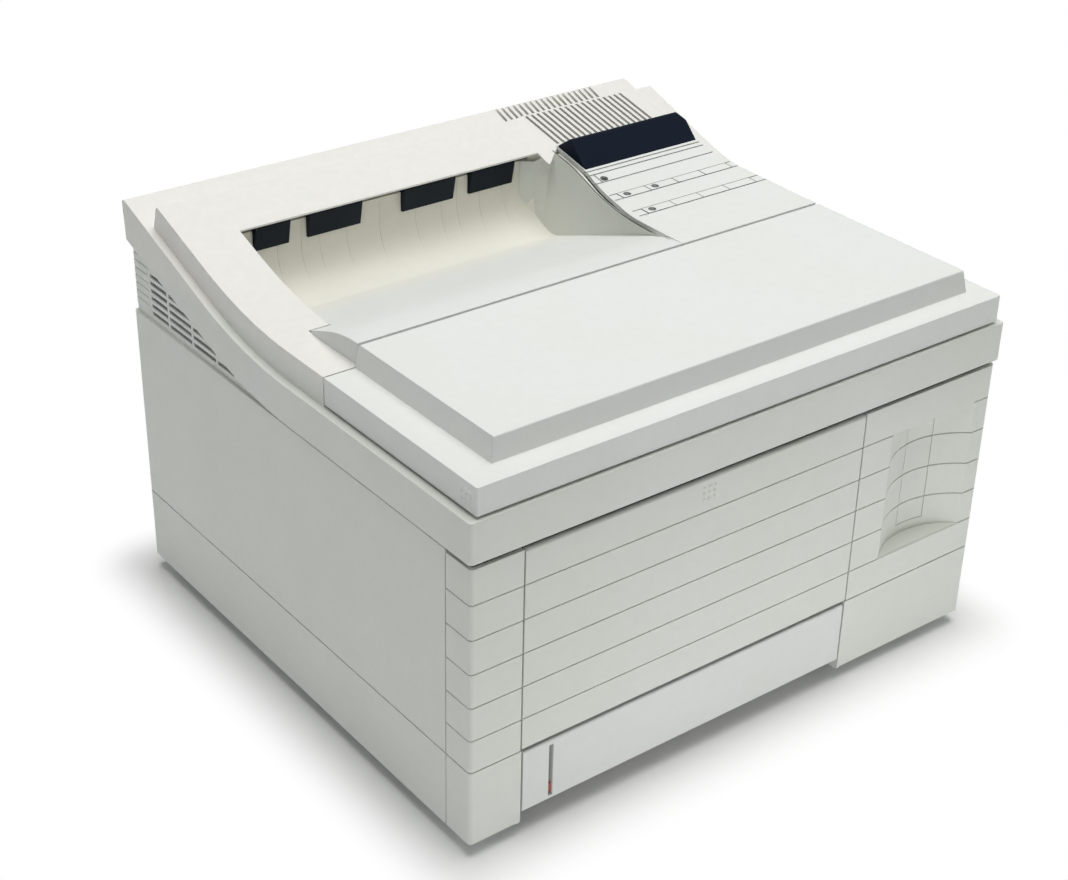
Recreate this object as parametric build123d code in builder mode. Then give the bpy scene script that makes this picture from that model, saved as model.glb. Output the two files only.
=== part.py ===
from build123d import *
import os
from math import atan2, cos, hypot, pi, radians, sin, sqrt, tan

# Desktop laser printer. Origin: middle of the footprint on the floor, front towards -Y.

# Body
BODY_WIDTH = 413.0
BODY_DEPTH = 382.4
BODY_FRONT = -191.2
CORNER = 3.0
INNER_CORNER = 0.4
WALL = 2.5
FOOT_HEIGHT = 8.0
FOOT_RADIUS = 11.0
FOOT_INSET = 34.0
BASE_TOP = 62.2
SEAM = 0.8
PANEL_TOP = 200.0
SIDE_TOP = 201.5
GROOVE_PITCH = 22.9
GROOVE_WIDTH = 0.8
GROOVE_DEPTH = 0.8
CORNER_RETURN = 23.5
BASE_CHAMFER = 3.0

HALF_WIDTH = BODY_WIDTH / 2
BODY_BACK = BODY_FRONT + BODY_DEPTH
BODY_MIDDLE = (BODY_FRONT + BODY_BACK) / 2
PANEL_BASE = BASE_TOP + SEAM
SIDE_SEAM_Y = BODY_FRONT + CORNER_RETURN

# Rim round the top and the swept crown behind the door
RIM_OVERHANG = 1.5
RIM_CORNER = 2.4
RIM_WALL = 3.0
RIM_LOW = 204.0
RIM_TOP = 230.0
RIM_LOW_RISE = 0.32
RIM_TOP_RISE = 0.348
CREST_Y = 155.0
ARM_TOP = 249.5
ARM_RISE = 0.34
HOOD_RUN = 18.0
REAR_ROUND = 12.0
STEP_INSET = 5.5
SWEEP_RADIUS = 300.0
CREST_RADIUS = 2.5
DOOR_CORNER = 1.2
SKIN = 3.0
RIM_LOW_BEND = 40.0
RIM_TOP_BEND = 45.8
ARM_BEND = 47.4
CREST = ARM_TOP + ARM_RISE * (CREST_Y - ARM_BEND)

# Toner door over the front half of the top
DOOR_REAR = -41.4
DOOR_SEAM = 1.0
DOOR_FLOOR = 232.0
PLATFORM_TOP = 264.0
PLATFORM_LEFT = -178.6
PLATFORM_RIGHT = 186.0
PLATFORM_FRONT = -172.0
PLATFORM_SLOPE = 2.5
DOOR_HINGE_SETBACK = 8.0
DOOR_HINGE_DROP = 5.0
DOOR_PIN_RADIUS = 1.5
DOOR_LUG_X = (-130.0, 30.0)
PIN_CLEARANCE = 0.05

HOUSING_FRONT = DOOR_REAR + DOOR_SEAM
DOOR_HINGE_Y = DOOR_REAR - DOOR_HINGE_SETBACK
DOOR_HINGE_Z = PLATFORM_TOP - DOOR_HINGE_DROP

# Output bin
BIN_LEFT = -164.2
BIN_WALL = 2.3
BIN_REAR = 128.0
BIN_LIP_Y = 118.0
BIN_FLOOR_BEND = -23.0
BIN_FLOOR_FALL = 0.375
BIN_BLEND = 28.0
BIN_WALL_FOOT = (66.3, 72.6)
BIN_WALL_REAR_HEAD = 80.9
BIN_WALL_MIN_RISE = 12.0
BIN_WALL_STATIONS = (0.0, 0.2, 0.38, 0.55, 0.75, 1.0)
BIN_PILLAR = 11.5
BIN_SWEEP = 90.0
BIN_DEPTH_Z = 207.0
FIN_REAR = 14.0
BIN_WALL_TOP = 266.0
EXIT_WINDOWS = ((-150.0, -124.0), (-110.0, -69.0), (-36.0, 6.0), (19.0, 56.0))
EXIT_WINDOW_LOW = 252.0

# Control panel
DECK_BEND = 60.0
DECK_RISE = 0.218
DECK_SWEEP = 160.0
BEZEL = 3.0
BEZEL_REAR = 113.0
BEZEL_LIP = 3.0
BEZEL_EDGE = [(68.0, HOUSING_FRONT), (68.0, 12.0), (83.9, 78.0), (84.4, BEZEL_REAR)]
BEZEL_EDGE_SWEEPS = [60.0, 40.0]
DECK_LEFT = 67.0
DISPLAY_FRONT = 81.0
DISPLAY_HEIGHT = 16.5
DISPLAY_RUN = 17.0
DISPLAY_LEFT = 84.8
DISPLAY_RIGHT = 185.6
KEY_ROWS = ((41.0, (95.0, 119.5, 144.0, 168.5)), (12.5, (93.0, 117.0, 141.0, 165.0)))
KEY_SIZE = (23.7, 7.8)
KEY_CLEARANCE = 0.35
KEY_TRAVEL = 0.8
KEY_PROUD = 0.3
KEY_UNDER_ROOM = 0.5
LED_RADIUS = 1.6
LED_HOLE = 2.0
LED_FROM_KEY = 6.0
STATUS_LED = (90.0, 67.0)

# Front
FRONT_LEFT_X = -170.0
FRONT_RIGHT_X = 90.3
FRONT_GAP = 0.8
MP_HINGE_Y = -185.6
MP_HINGE_Z = 70.0
MP_PIN_RADIUS = 3.0
MP_DOOR_TOP = 199.6
MP_DOOR_WALL = 3.0
SCOOP_MIDDLE = 155.0
SCOOP_CHORD = 76.0
SCOOP_DEPTH = 14.5
POWER_KEY_X = (147.0, 170.0)
POWER_KEY_Z = (92.0, 171.0)
POWER_TRAVEL = 4.0

# Cassette
CASSETTE_FLOOR = 14.0
CASSETTE_TOP = 60.3
CASSETTE_REAR = 150.0
CASSETTE_GAP = 1.4
TRAY_X = (FRONT_LEFT_X + 5, FRONT_RIGHT_X - 5.3)
TRAY_LOW = CASSETTE_FLOOR + 0.4
MOUTH_DEPTH = 20.0
RAIL_INSET = 24.0
RAIL_WIDTH = 5.0
RAIL_GAP = 0.25
GAUGE_X = -148.0

FEET_Y = (BODY_FRONT + FOOT_INSET, BODY_BACK - FOOT_INSET)
FEET_X = (-HALF_WIDTH + FOOT_INSET, HALF_WIDTH - FOOT_INSET)

# Engine frames and rollers, as (y, z) of each axis
LEFT_FRAME_X = -177.0
RIGHT_FRAME_X = 95.0
FRAME_SHEET = 1.5
RUNNING = 0.08
SHAFT_RADIUS = 3.0
PICKUP_AXIS = (-138.0, 84.0)
TRANSFER_AXIS = (-75.0, 104.2)
DRUM_AXIS = (-75.0, 128.0)
HEAT_AXIS = (120.0, 150.0)
PRESSURE_AXIS = (120.0, 125.1)
EXIT_AXIS = (141.0, 247.0)
MOTOR_AXIS = (20.0, 120.0)
PICKUP_RADIUS = 16.0
TRANSFER_RADIUS = 8.5
REGISTRATION_RADIUS = 7.0
DRUM_RADIUS = 15.0
HEAT_RADIUS = 12.5
PRESSURE_RADIUS = 12.0
EXIT_RADIUS = 6.0

# Gears
GEAR_MODULE = 1.5
GEAR_X = (-189.0, -182.0)
PINION_TEETH = 13
FRONT_IDLER_TEETH = 48
REAR_IDLER_TEETH = 54
TRANSFER_TEETH = 24
REGISTRATION_TEETH = 23
HEAT_TEETH = 26
PRESSURE_ANGLE = radians(20)
TOOTH_THINNING = 0.16

os.makedirs("parts", exist_ok=True)


def save(builder, name):
    """Label a finished piece and write it under its own name."""
    builder.part.label = name
    export_step(builder.part, f"parts/{name}.step")
    print(name, round(builder.part.volume), len(builder.part.solids()))


def block(x, y, z, mode=Mode.ADD):
    """A straight block between two limits on each axis."""
    with Locations(((x[0] + x[1]) / 2, (y[0] + y[1]) / 2, (z[0] + z[1]) / 2)):
        Box(x[1] - x[0], y[1] - y[0], z[1] - z[0], mode=mode)


def rod(axis, x, radius, mode=Mode.ADD):
    """A round bar along X; axis is its (y, z)."""
    with BuildSketch(Plane.YZ.offset(x[0])) as disc:
        with Locations(axis):
            Circle(radius)
    extrude(disc.sketch, amount=x[1] - x[0], mode=mode)


def side_prism(points, x, mode=Mode.ADD):
    """A prism along X over a straight-sided outline of (y, z) points."""
    with BuildSketch(Plane.YZ.offset(x[0])) as outline:
        with BuildLine():
            Polyline(*points, close=True)
        make_face()
    extrude(outline.sketch, amount=x[1] - x[0], mode=mode)


def front_prism(points, y, mode=Mode.ADD):
    """A prism along Y over a straight-sided outline of (x, z) points."""
    with BuildSketch(Plane.XZ.offset(-y[1])) as outline:
        with BuildLine():
            Polyline(*points, close=True)
        make_face()
    extrude(outline.sketch, amount=y[1] - y[0], mode=mode)


def plan_prism(points, z, mode=Mode.ADD):
    """An upright prism over a straight-sided outline of (x, y) points."""
    with BuildSketch(Plane.XY.offset(z[0])) as outline:
        with BuildLine():
            Polyline(*points, close=True)
        make_face()
    extrude(outline.sketch, amount=z[1] - z[0], mode=mode)


def swept_prism(points, radii, floor, x, mode=Mode.ADD):
    """A prism along X under a line of (y, z) points whose corners are rounded, down to floor."""
    with BuildSketch(Plane.YZ.offset(x[0])) as outline:
        with BuildLine():
            FilletPolyline(*points, radius=radii)
            Polyline(points[-1], (points[-1][0], floor), (points[0][0], floor), points[0])
        make_face()
    extrude(outline.sketch, amount=x[1] - x[0], mode=mode)


def plan_ring(z, wall=WALL, inset=0.0, mode=Mode.ADD):
    """An upright wall that follows the body's plan outline."""
    with BuildSketch(Plane.XY.offset(z[0])) as ring:
        with Locations((0, BODY_MIDDLE)):
            RectangleRounded(BODY_WIDTH - 2 * inset, BODY_DEPTH - 2 * inset,
                             max(CORNER - inset, INNER_CORNER))
            RectangleRounded(BODY_WIDTH - 2 * (inset + wall), BODY_DEPTH - 2 * (inset + wall),
                             max(CORNER - inset - wall, INNER_CORNER), mode=Mode.SUBTRACT)
    extrude(ring.sketch, amount=z[1] - z[0], mode=mode)


def plan_solid(z, inset=0.0, corner=CORNER, mode=Mode.ADD):
    """A solid that fills the body's plan outline."""
    with BuildSketch(Plane.XY.offset(z[0])) as outline:
        with Locations((0, BODY_MIDDLE)):
            RectangleRounded(BODY_WIDTH - 2 * inset, BODY_DEPTH - 2 * inset, corner)
    extrude(outline.sketch, amount=z[1] - z[0], mode=mode)


def front_grooves(x):
    """Shallow level grooves round the front, between two x limits, following the corners."""
    for row in range(1, 6):
        level = BASE_TOP + row * GROOVE_PITCH
        with BuildSketch(Plane.XY.offset(level - GROOVE_WIDTH / 2)) as ring:
            with Locations((0, BODY_MIDDLE)):
                RectangleRounded(BODY_WIDTH + 2, BODY_DEPTH + 2, CORNER + 1)
                RectangleRounded(BODY_WIDTH - 2 * GROOVE_DEPTH, BODY_DEPTH - 2 * GROOVE_DEPTH,
                                 CORNER - GROOVE_DEPTH, mode=Mode.SUBTRACT)
            with Locations(((x[0] + x[1]) / 2, BODY_FRONT)):
                Rectangle(x[1] - x[0], 2 * CORNER_RETURN + 4, mode=Mode.INTERSECT)
        extrude(ring.sketch, amount=GROOVE_WIDTH, mode=Mode.SUBTRACT)


def rim_low_points(lift=0.0):
    """Lower edge of the rim, seen from the side."""
    end = BODY_BACK + 4
    return [(BODY_FRONT - 4, RIM_LOW + lift), (RIM_LOW_BEND, RIM_LOW + lift),
            (end, RIM_LOW + RIM_LOW_RISE * (end - RIM_LOW_BEND) + lift)]


def rim_top_points(lift=0.0):
    """Ledge line of the rim: level at the front, swept up to the rear edge and down the back."""
    back = BODY_BACK + RIM_OVERHANG + lift
    return [(BODY_FRONT - 4, RIM_TOP + lift), (RIM_TOP_BEND, RIM_TOP + lift),
            (back, RIM_TOP + RIM_TOP_RISE * (back - RIM_TOP_BEND) + lift), (back, RIM_TOP)]


def arm_points(lift=0.0, front=BODY_FRONT - 4):
    """Top surface of the hood and its arms beside the bin, up to the crest and steeply down behind it."""
    crest_y = CREST_Y + lift
    return [(front, ARM_TOP + lift), (ARM_BEND, ARM_TOP + lift),
            (crest_y, ARM_TOP + ARM_RISE * (crest_y - ARM_BEND) + lift), (crest_y + HOOD_RUN, RIM_TOP)]


def deck_points(lift=0.0, front=HOUSING_FRONT):
    """Top surface of the control deck, from the door seam up to the crest."""
    bend_z = CREST - DECK_RISE * (CREST_Y - DECK_BEND)
    return [(front, PLATFORM_TOP + lift), (HOUSING_FRONT + 25, PLATFORM_TOP + lift),
            (DECK_BEND, bend_z + lift), (CREST_Y, CREST + lift)]


def deck_height(y):
    """Height of the control deck at a given y, with the rounding of its main bend."""
    points = deck_points()
    bend_turn = atan2(DECK_RISE, 1) - atan2(points[2][1] - points[1][1], points[2][0] - points[1][0])
    reach = max(0.0, DECK_SWEEP * tan(bend_turn / 2) - abs(y - DECK_BEND))
    for (y0, z0), (y1, z1) in zip(points, points[1:]):
        if y <= y1:
            return z0 + (z1 - z0) * (y - y0) / (y1 - y0) + reach ** 2 / (2 * DECK_SWEEP)
    return points[-1][1]


def floor_height(y):
    """Height of the output bin's floor: level at the door, then falling to the rear."""
    return PLATFORM_TOP - BIN_FLOOR_FALL * max(0.0, y - BIN_FLOOR_BEND)


def bezel_edge_x(y):
    """x of the control panel's left edge, taken straight between the corners of its outline."""
    for (x0, y0), (x1, y1) in zip(BEZEL_EDGE, BEZEL_EDGE[1:]):
        if y <= y1:
            return x0 + (x1 - x0) * (y - y0) / (y1 - y0)
    return BEZEL_EDGE[-1][0]


def bin_wall_x(y, z, shift=0.0):
    """x of the bin's right wall, which leans from its foot on the floor to its head under the panel."""
    share = (y - HOUSING_FRONT) / (BIN_REAR - HOUSING_FRONT)
    foot = BIN_WALL_FOOT[0] + share * (BIN_WALL_FOOT[1] - BIN_WALL_FOOT[0])
    rise = max(deck_height(y) - BEZEL - floor_height(y), BIN_WALL_MIN_RISE)
    head = min(bezel_edge_x(y) - BEZEL_LIP, BIN_WALL_REAR_HEAD)
    return foot + max(head - foot, 0.0) * (z - floor_height(y)) / rise + shift


def bin_wall_face(z, shift):
    """Plan outline of the space left of the bin's right wall, at one height."""
    run = BIN_REAR - BIN_PILLAR - HOUSING_FRONT
    stations = [HOUSING_FRONT + share * run for share in BIN_WALL_STATIONS]
    curve = [(bin_wall_x(y, z, shift), y) for y in stations]
    corner = (bin_wall_x(BIN_REAR - BIN_PILLAR, z, shift) - BIN_PILLAR, BIN_REAR + shift)
    with BuildSketch(Plane.XY.offset(z)) as outline:
        with BuildLine():
            Spline(*curve)
            Polyline(curve[-1], corner, (BIN_LEFT - shift, BIN_REAR + shift),
                     (BIN_LEFT - shift, HOUSING_FRONT),
                     curve[0])
        make_face()
    return outline.sketch.face()


def bin_floor_prism(lift, x, mode=Mode.ADD):
    """A prism along X of all that lies under the bin's floor and behind its blended rear wall."""
    rear = BIN_REAR - lift
    line = [(HOUSING_FRONT, PLATFORM_TOP + lift), (BIN_FLOOR_BEND, PLATFORM_TOP + lift),
            (rear, floor_height(rear) + lift), (rear, CREST + 12)]
    with BuildSketch(Plane.YZ.offset(x[0])) as outline:
        with BuildLine():
            FilletPolyline(*line, radius=[BIN_SWEEP, BIN_BLEND - lift])
            Polyline(line[-1], (BIN_REAR + 30, CREST + 12), (BIN_REAR + 30, BIN_DEPTH_Z - 40),
                     (HOUSING_FRONT, BIN_DEPTH_Z - 40), line[0])
        make_face()
    extrude(outline.sketch, amount=x[1] - x[0], mode=mode)


SWEEPS = [SWEEP_RADIUS]
RIM_SWEEPS = [SWEEP_RADIUS, REAR_ROUND]
ARM_SWEEPS = [SWEEP_RADIUS, CREST_RADIUS]
DECK_SWEEPS = [60.0, DECK_SWEEP]

# Base pan with the cassette bay
MOUTH_X = (FRONT_LEFT_X, FRONT_RIGHT_X)
with BuildPart() as base_pan:
    plan_solid((FOOT_HEIGHT, BASE_TOP))
    plan_solid((FOOT_HEIGHT + WALL, BASE_TOP + 1), inset=WALL, corner=INNER_CORNER, mode=Mode.SUBTRACT)
    chamfer(base_pan.faces().sort_by(Axis.Z)[0].outer_wire().edges(), length=BASE_CHAMFER - 0.8)
    block(MOUTH_X, (BODY_FRONT - 1, BODY_FRONT + MOUTH_DEPTH), (FOOT_HEIGHT - 1, BASE_TOP + 1), Mode.SUBTRACT)
    for seam_x in (-HALF_WIDTH, HALF_WIDTH):
        block((seam_x - GROOVE_DEPTH, seam_x + GROOVE_DEPTH),
              (SIDE_SEAM_Y - SEAM / 2, SIDE_SEAM_Y + SEAM / 2),
              (FOOT_HEIGHT - 1, BASE_TOP + 1), Mode.SUBTRACT)
    for runner_x in (MOUTH_X[0] - WALL, MOUTH_X[1]):
        block((runner_x, runner_x + WALL), (BODY_FRONT + 0.5, CASSETTE_REAR + 6),
              (FOOT_HEIGHT + 1, BASE_TOP - 1))
    for rail_x in (TRAY_X[0] + RAIL_INSET, TRAY_X[1] - RAIL_INSET - RAIL_WIDTH):
        block((rail_x, rail_x + RAIL_WIDTH), (BODY_FRONT + MOUTH_DEPTH + 2, CASSETTE_REAR),
              (FOOT_HEIGHT + 1, TRAY_LOW - RAIL_GAP))
save(base_pan, "base_pan")

with BuildPart() as feet:
    with BuildSketch():
        with Locations(*[(x, y) for x in FEET_X for y in FEET_Y]):
            Circle(FOOT_RADIUS)
    extrude(amount=FOOT_HEIGHT)
    chamfer(feet.faces().filter_by(Axis.Z).group_by(Axis.Z)[0].edges(), length=1.2)
save(feet, "feet")

# Side panels with the swept louvre field above them
LOUVRE_PITCH = 5.4
LOUVRE_OPEN = 2.6
LOUVRE_COUNT = 8
LOUVRE_LOW = 206.0
LOUVRE_RIBS = (52.0, 83.0, 114.0, 145.0, 169.0)
LOUVRE_RIB = 2.4
LOUVRE_MIN = 5.0
REAR_RETURN = 17.0
LOUVRE_INSET = 2.0


def louvre_start(z):
    """y at which the rim's lower edge leaves room for a slit at this height."""
    return RIM_LOW_BEND + (z + 3 - RIM_LOW) / RIM_LOW_RISE + 6


def side_panel(side):
    """One side panel; side is -1 for the left one and 1 for the right one."""
    outer = side * HALF_WIDTH
    with BuildPart() as panel:
        plan_ring((PANEL_BASE, SIDE_TOP))
        plan_ring((SIDE_TOP - WALL, CREST), wall=LOUVRE_INSET, inset=LOUVRE_INSET)
        plan_ring((SIDE_TOP - WALL, SIDE_TOP), wall=LOUVRE_INSET + WALL, inset=0.2)
        near, far = sorted((outer + side * 2, outer - side * REAR_RETURN))
        block((near, far), (SIDE_SEAM_Y + SEAM / 2, BODY_BACK + 1), (PANEL_BASE, CREST), Mode.INTERSECT)
        swept_prism(rim_low_points(2.5), SWEEPS, PANEL_BASE, (near - 5, far + 5), Mode.INTERSECT)
        for row in range(LOUVRE_COUNT):
            low = LOUVRE_LOW + row * LOUVRE_PITCH
            start = louvre_start(low)
            for rib, next_rib in zip(LOUVRE_RIBS[:-1], LOUVRE_RIBS[1:]):
                bay = (max(start, rib + LOUVRE_RIB / 2), next_rib - LOUVRE_RIB / 2)
                if bay[0] < bay[1] - LOUVRE_MIN:
                    block(sorted((outer + side, outer - side * 8)), bay, (low, low + LOUVRE_OPEN),
                          Mode.SUBTRACT)
    return panel


left_side_panel = side_panel(-1)
save(left_side_panel, "left_side_panel")
right_side_panel = side_panel(1)
save(right_side_panel, "right_side_panel")

# Front corner pieces
with BuildPart() as front_left_corner:
    plan_ring((PANEL_BASE, PANEL_TOP))
    block((-HALF_WIDTH - 1, FRONT_LEFT_X - FRONT_GAP), (BODY_FRONT - 1, SIDE_SEAM_Y - SEAM / 2),
          (PANEL_BASE, PANEL_TOP), Mode.INTERSECT)
    block((FRONT_LEFT_X - FRONT_GAP - WALL, FRONT_LEFT_X - FRONT_GAP), (BODY_FRONT + 0.5, SIDE_SEAM_Y + 6),
          (PANEL_BASE, PANEL_TOP))
    rod((MP_HINGE_Y, MP_HINGE_Z), (FRONT_LEFT_X - 5, FRONT_LEFT_X + 1), MP_PIN_RADIUS + PIN_CLEARANCE,
        Mode.SUBTRACT)
    front_grooves((-HALF_WIDTH - 2, FRONT_LEFT_X))
save(front_left_corner, "front_left_corner")

SCOOP_RADIUS = ((SCOOP_CHORD / 2) ** 2 + SCOOP_DEPTH ** 2) / (2 * SCOOP_DEPTH)
SCOOP_CENTRE = (SCOOP_MIDDLE, BODY_FRONT + SCOOP_DEPTH - SCOOP_RADIUS)
SCOOP_LOW = BASE_TOP + GROOVE_PITCH
SCOOP_HIGH = BASE_TOP + 5 * GROOVE_PITCH


def scoop_segment(z, grow, mode):
    """The part of an upright cylinder that lies behind the front face."""
    with BuildSketch(Plane.XY.offset(z[0])) as segment:
        with Locations(SCOOP_CENTRE):
            Circle(SCOOP_RADIUS + grow)
        with Locations((SCOOP_MIDDLE, BODY_FRONT + 0.4 + SCOOP_DEPTH)):
            Rectangle(SCOOP_CHORD + 20, 2 * SCOOP_DEPTH, mode=Mode.INTERSECT)
    extrude(segment.sketch, amount=z[1] - z[0], mode=mode)


with BuildPart() as front_right_panel:
    plan_ring((PANEL_BASE, PANEL_TOP))
    block((FRONT_RIGHT_X + FRONT_GAP, HALF_WIDTH + 1), (BODY_FRONT - 1, SIDE_SEAM_Y - SEAM / 2),
          (PANEL_BASE, PANEL_TOP), Mode.INTERSECT)
    block((FRONT_RIGHT_X + FRONT_GAP, FRONT_RIGHT_X + FRONT_GAP + WALL), (BODY_FRONT + 0.5, SIDE_SEAM_Y + 6),
          (PANEL_BASE, PANEL_TOP))
    scoop_segment((SCOOP_LOW - WALL, SCOOP_HIGH + WALL), WALL, Mode.ADD)
    front_grooves((FRONT_RIGHT_X, HALF_WIDTH + 2))
    with BuildSketch(Plane.XY.offset(SCOOP_LOW)) as scoop_cut:
        with Locations(SCOOP_CENTRE):
            Circle(SCOOP_RADIUS)
    extrude(scoop_cut.sketch, amount=SCOOP_HIGH - SCOOP_LOW, mode=Mode.SUBTRACT)
    for row in range(2, 5):
        with BuildSketch(Plane.XY.offset(BASE_TOP + row * GROOVE_PITCH - GROOVE_WIDTH / 2)) as scoop_groove:
            with Locations(SCOOP_CENTRE):
                Circle(SCOOP_RADIUS + GROOVE_DEPTH)
        extrude(scoop_groove.sketch, amount=GROOVE_WIDTH, mode=Mode.SUBTRACT)
    block(POWER_KEY_X, (BODY_FRONT + 5, BODY_FRONT + 25), POWER_KEY_Z, Mode.SUBTRACT)
    rod((MP_HINGE_Y, MP_HINGE_Z), (FRONT_RIGHT_X - 1, FRONT_RIGHT_X + 5), MP_PIN_RADIUS + PIN_CLEARANCE,
        Mode.SUBTRACT)
save(front_right_panel, "front_right_panel")

with BuildPart() as power_key:
    block((POWER_KEY_X[0] + 0.4, POWER_KEY_X[1] - 0.4), (BODY_FRONT + 8, BODY_FRONT + SCOOP_DEPTH + 5),
          (POWER_KEY_Z[0] + 0.4, POWER_KEY_Z[1] - 0.4))
    with BuildSketch(Plane.XY.offset(POWER_KEY_Z[0])) as key_front:
        with Locations(SCOOP_CENTRE):
            Circle(SCOOP_RADIUS)
    extrude(key_front.sketch, amount=POWER_KEY_Z[1] - POWER_KEY_Z[0], mode=Mode.SUBTRACT)
    for row in range(2, 5):
        with BuildSketch(Plane.XY.offset(BASE_TOP + row * GROOVE_PITCH - GROOVE_WIDTH / 2)) as key_groove:
            with Locations(SCOOP_CENTRE):
                Circle(SCOOP_RADIUS + GROOVE_DEPTH)
        extrude(key_groove.sketch, amount=GROOVE_WIDTH, mode=Mode.SUBTRACT)
save(power_key, "power_key")

# Top housing: rim band, swept arms, crown and vents in one moulding
TOOTH_TIP = (71.5, 104.0)
WEB_OVERHANG = 4.0
VENT_X = (87.8, 173.2)
VENT_COUNT = 18
VENT_SLIT = 2.3
VENT_FRONT_Y = 115.5
VENT_CREST_LAND = 1.5
VENT_REAR_Y = (165.0, 184.0)
LEDGE_WIDTH = 11.0
LIP_EDGE = 1.2
LIP_TAPER = 9.0

with BuildPart() as rim_outer:
    plan_solid((RIM_LOW - 4, CREST + 4), inset=-RIM_OVERHANG, corner=RIM_CORNER)
    swept_prism(rim_top_points(), RIM_SWEEPS, RIM_LOW - 10, (-HALF_WIDTH - 5, HALF_WIDTH + 5), Mode.INTERSECT)
    swept_prism(rim_low_points(), SWEEPS, RIM_LOW - 20, (-HALF_WIDTH - 5, HALF_WIDTH + 5), Mode.SUBTRACT)

CROWN_HALF = HALF_WIDTH + RIM_OVERHANG - STEP_INSET
HOOD_BACK = CREST_Y + HOOD_RUN
with BuildPart() as crown_outer:
    block((-CROWN_HALF, CROWN_HALF), (HOUSING_FRONT, HOOD_BACK), (RIM_LOW + 10, CREST + 5))
    swept_prism(arm_points(), ARM_SWEEPS, RIM_LOW, (-HALF_WIDTH, HALF_WIDTH), Mode.INTERSECT)
with BuildPart() as deck_outer:
    swept_prism(deck_points(), DECK_SWEEPS, RIM_TOP - 4, (DECK_LEFT, PLATFORM_RIGHT))
    block((DECK_LEFT - 1, BEZEL_EDGE[-1][0]), (BEZEL_REAR, CREST_Y + 1), (RIM_TOP - 5, CREST + 5),
          Mode.SUBTRACT)
    block((DECK_LEFT - 1, BEZEL_EDGE[-1][0]), (TOOTH_TIP[1] - 2, BEZEL_REAR), (RIM_TOP - 5, CREST + 5),
          Mode.SUBTRACT)


def ramp_end(y):
    """Section, at one y, of the slope that joins the lip beside the bin to the higher control deck."""
    lip_z = ARM_TOP + ARM_RISE * (y - ARM_BEND)
    with BuildSketch(Plane.XZ.offset(-y)) as section:
        with BuildLine():
            Polyline((TOOTH_TIP[0], lip_z - SKIN), (TOOTH_TIP[0], lip_z), (BEZEL_EDGE[-1][0], deck_height(y)),
                     (BEZEL_EDGE[-1][0], lip_z - SKIN), close=True)
        make_face()
    return section.sketch.face()


with BuildPart() as deck_ramp:
    loft([ramp_end(TOOTH_TIP[1] - 1), ramp_end(CREST_Y - 1)], ruled=True)

with BuildPart() as rim_void:
    plan_solid((RIM_LOW - 10, CREST + 4), inset=RIM_WALL - RIM_OVERHANG, corner=INNER_CORNER)
    swept_prism(rim_top_points(-SKIN), RIM_SWEEPS, RIM_LOW - 12, (-HALF_WIDTH, HALF_WIDTH), Mode.INTERSECT)
with BuildPart() as crown_void:
    block((-CROWN_HALF + SKIN, CROWN_HALF - SKIN), (HOUSING_FRONT + SKIN, HOOD_BACK), (RIM_LOW, CREST + 5))
    swept_prism(arm_points(-SKIN), ARM_SWEEPS, RIM_LOW - 5, (-HALF_WIDTH, HALF_WIDTH), Mode.INTERSECT)
with BuildPart() as deck_void:
    swept_prism(deck_points(-BEZEL - SKIN, HOUSING_FRONT + SKIN), DECK_SWEEPS, RIM_LOW,
                (DECK_LEFT - 2, PLATFORM_RIGHT - SKIN))
with BuildPart() as bezel_space:
    swept_prism(deck_points(10), DECK_SWEEPS, RIM_LOW, (DECK_LEFT - 2, PLATFORM_RIGHT + 1))
    swept_prism(deck_points(-BEZEL), DECK_SWEEPS, RIM_LOW - 2, (DECK_LEFT - 4, PLATFORM_RIGHT + 2),
                Mode.SUBTRACT)
    plan_prism([(DECK_LEFT - 3, HOUSING_FRONT - 1), (DECK_LEFT - 3, BEZEL_EDGE[1][1]),
                (BEZEL_EDGE[-1][0] - SEAM / 2, BEZEL_EDGE[2][1]),
                (BEZEL_EDGE[-1][0] - SEAM / 2, BEZEL_REAR + SEAM / 2),
                (PLATFORM_RIGHT + 2, BEZEL_REAR + SEAM / 2), (PLATFORM_RIGHT + 2, HOUSING_FRONT - 1)],
               (RIM_LOW, CREST + 15), Mode.INTERSECT)

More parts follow.
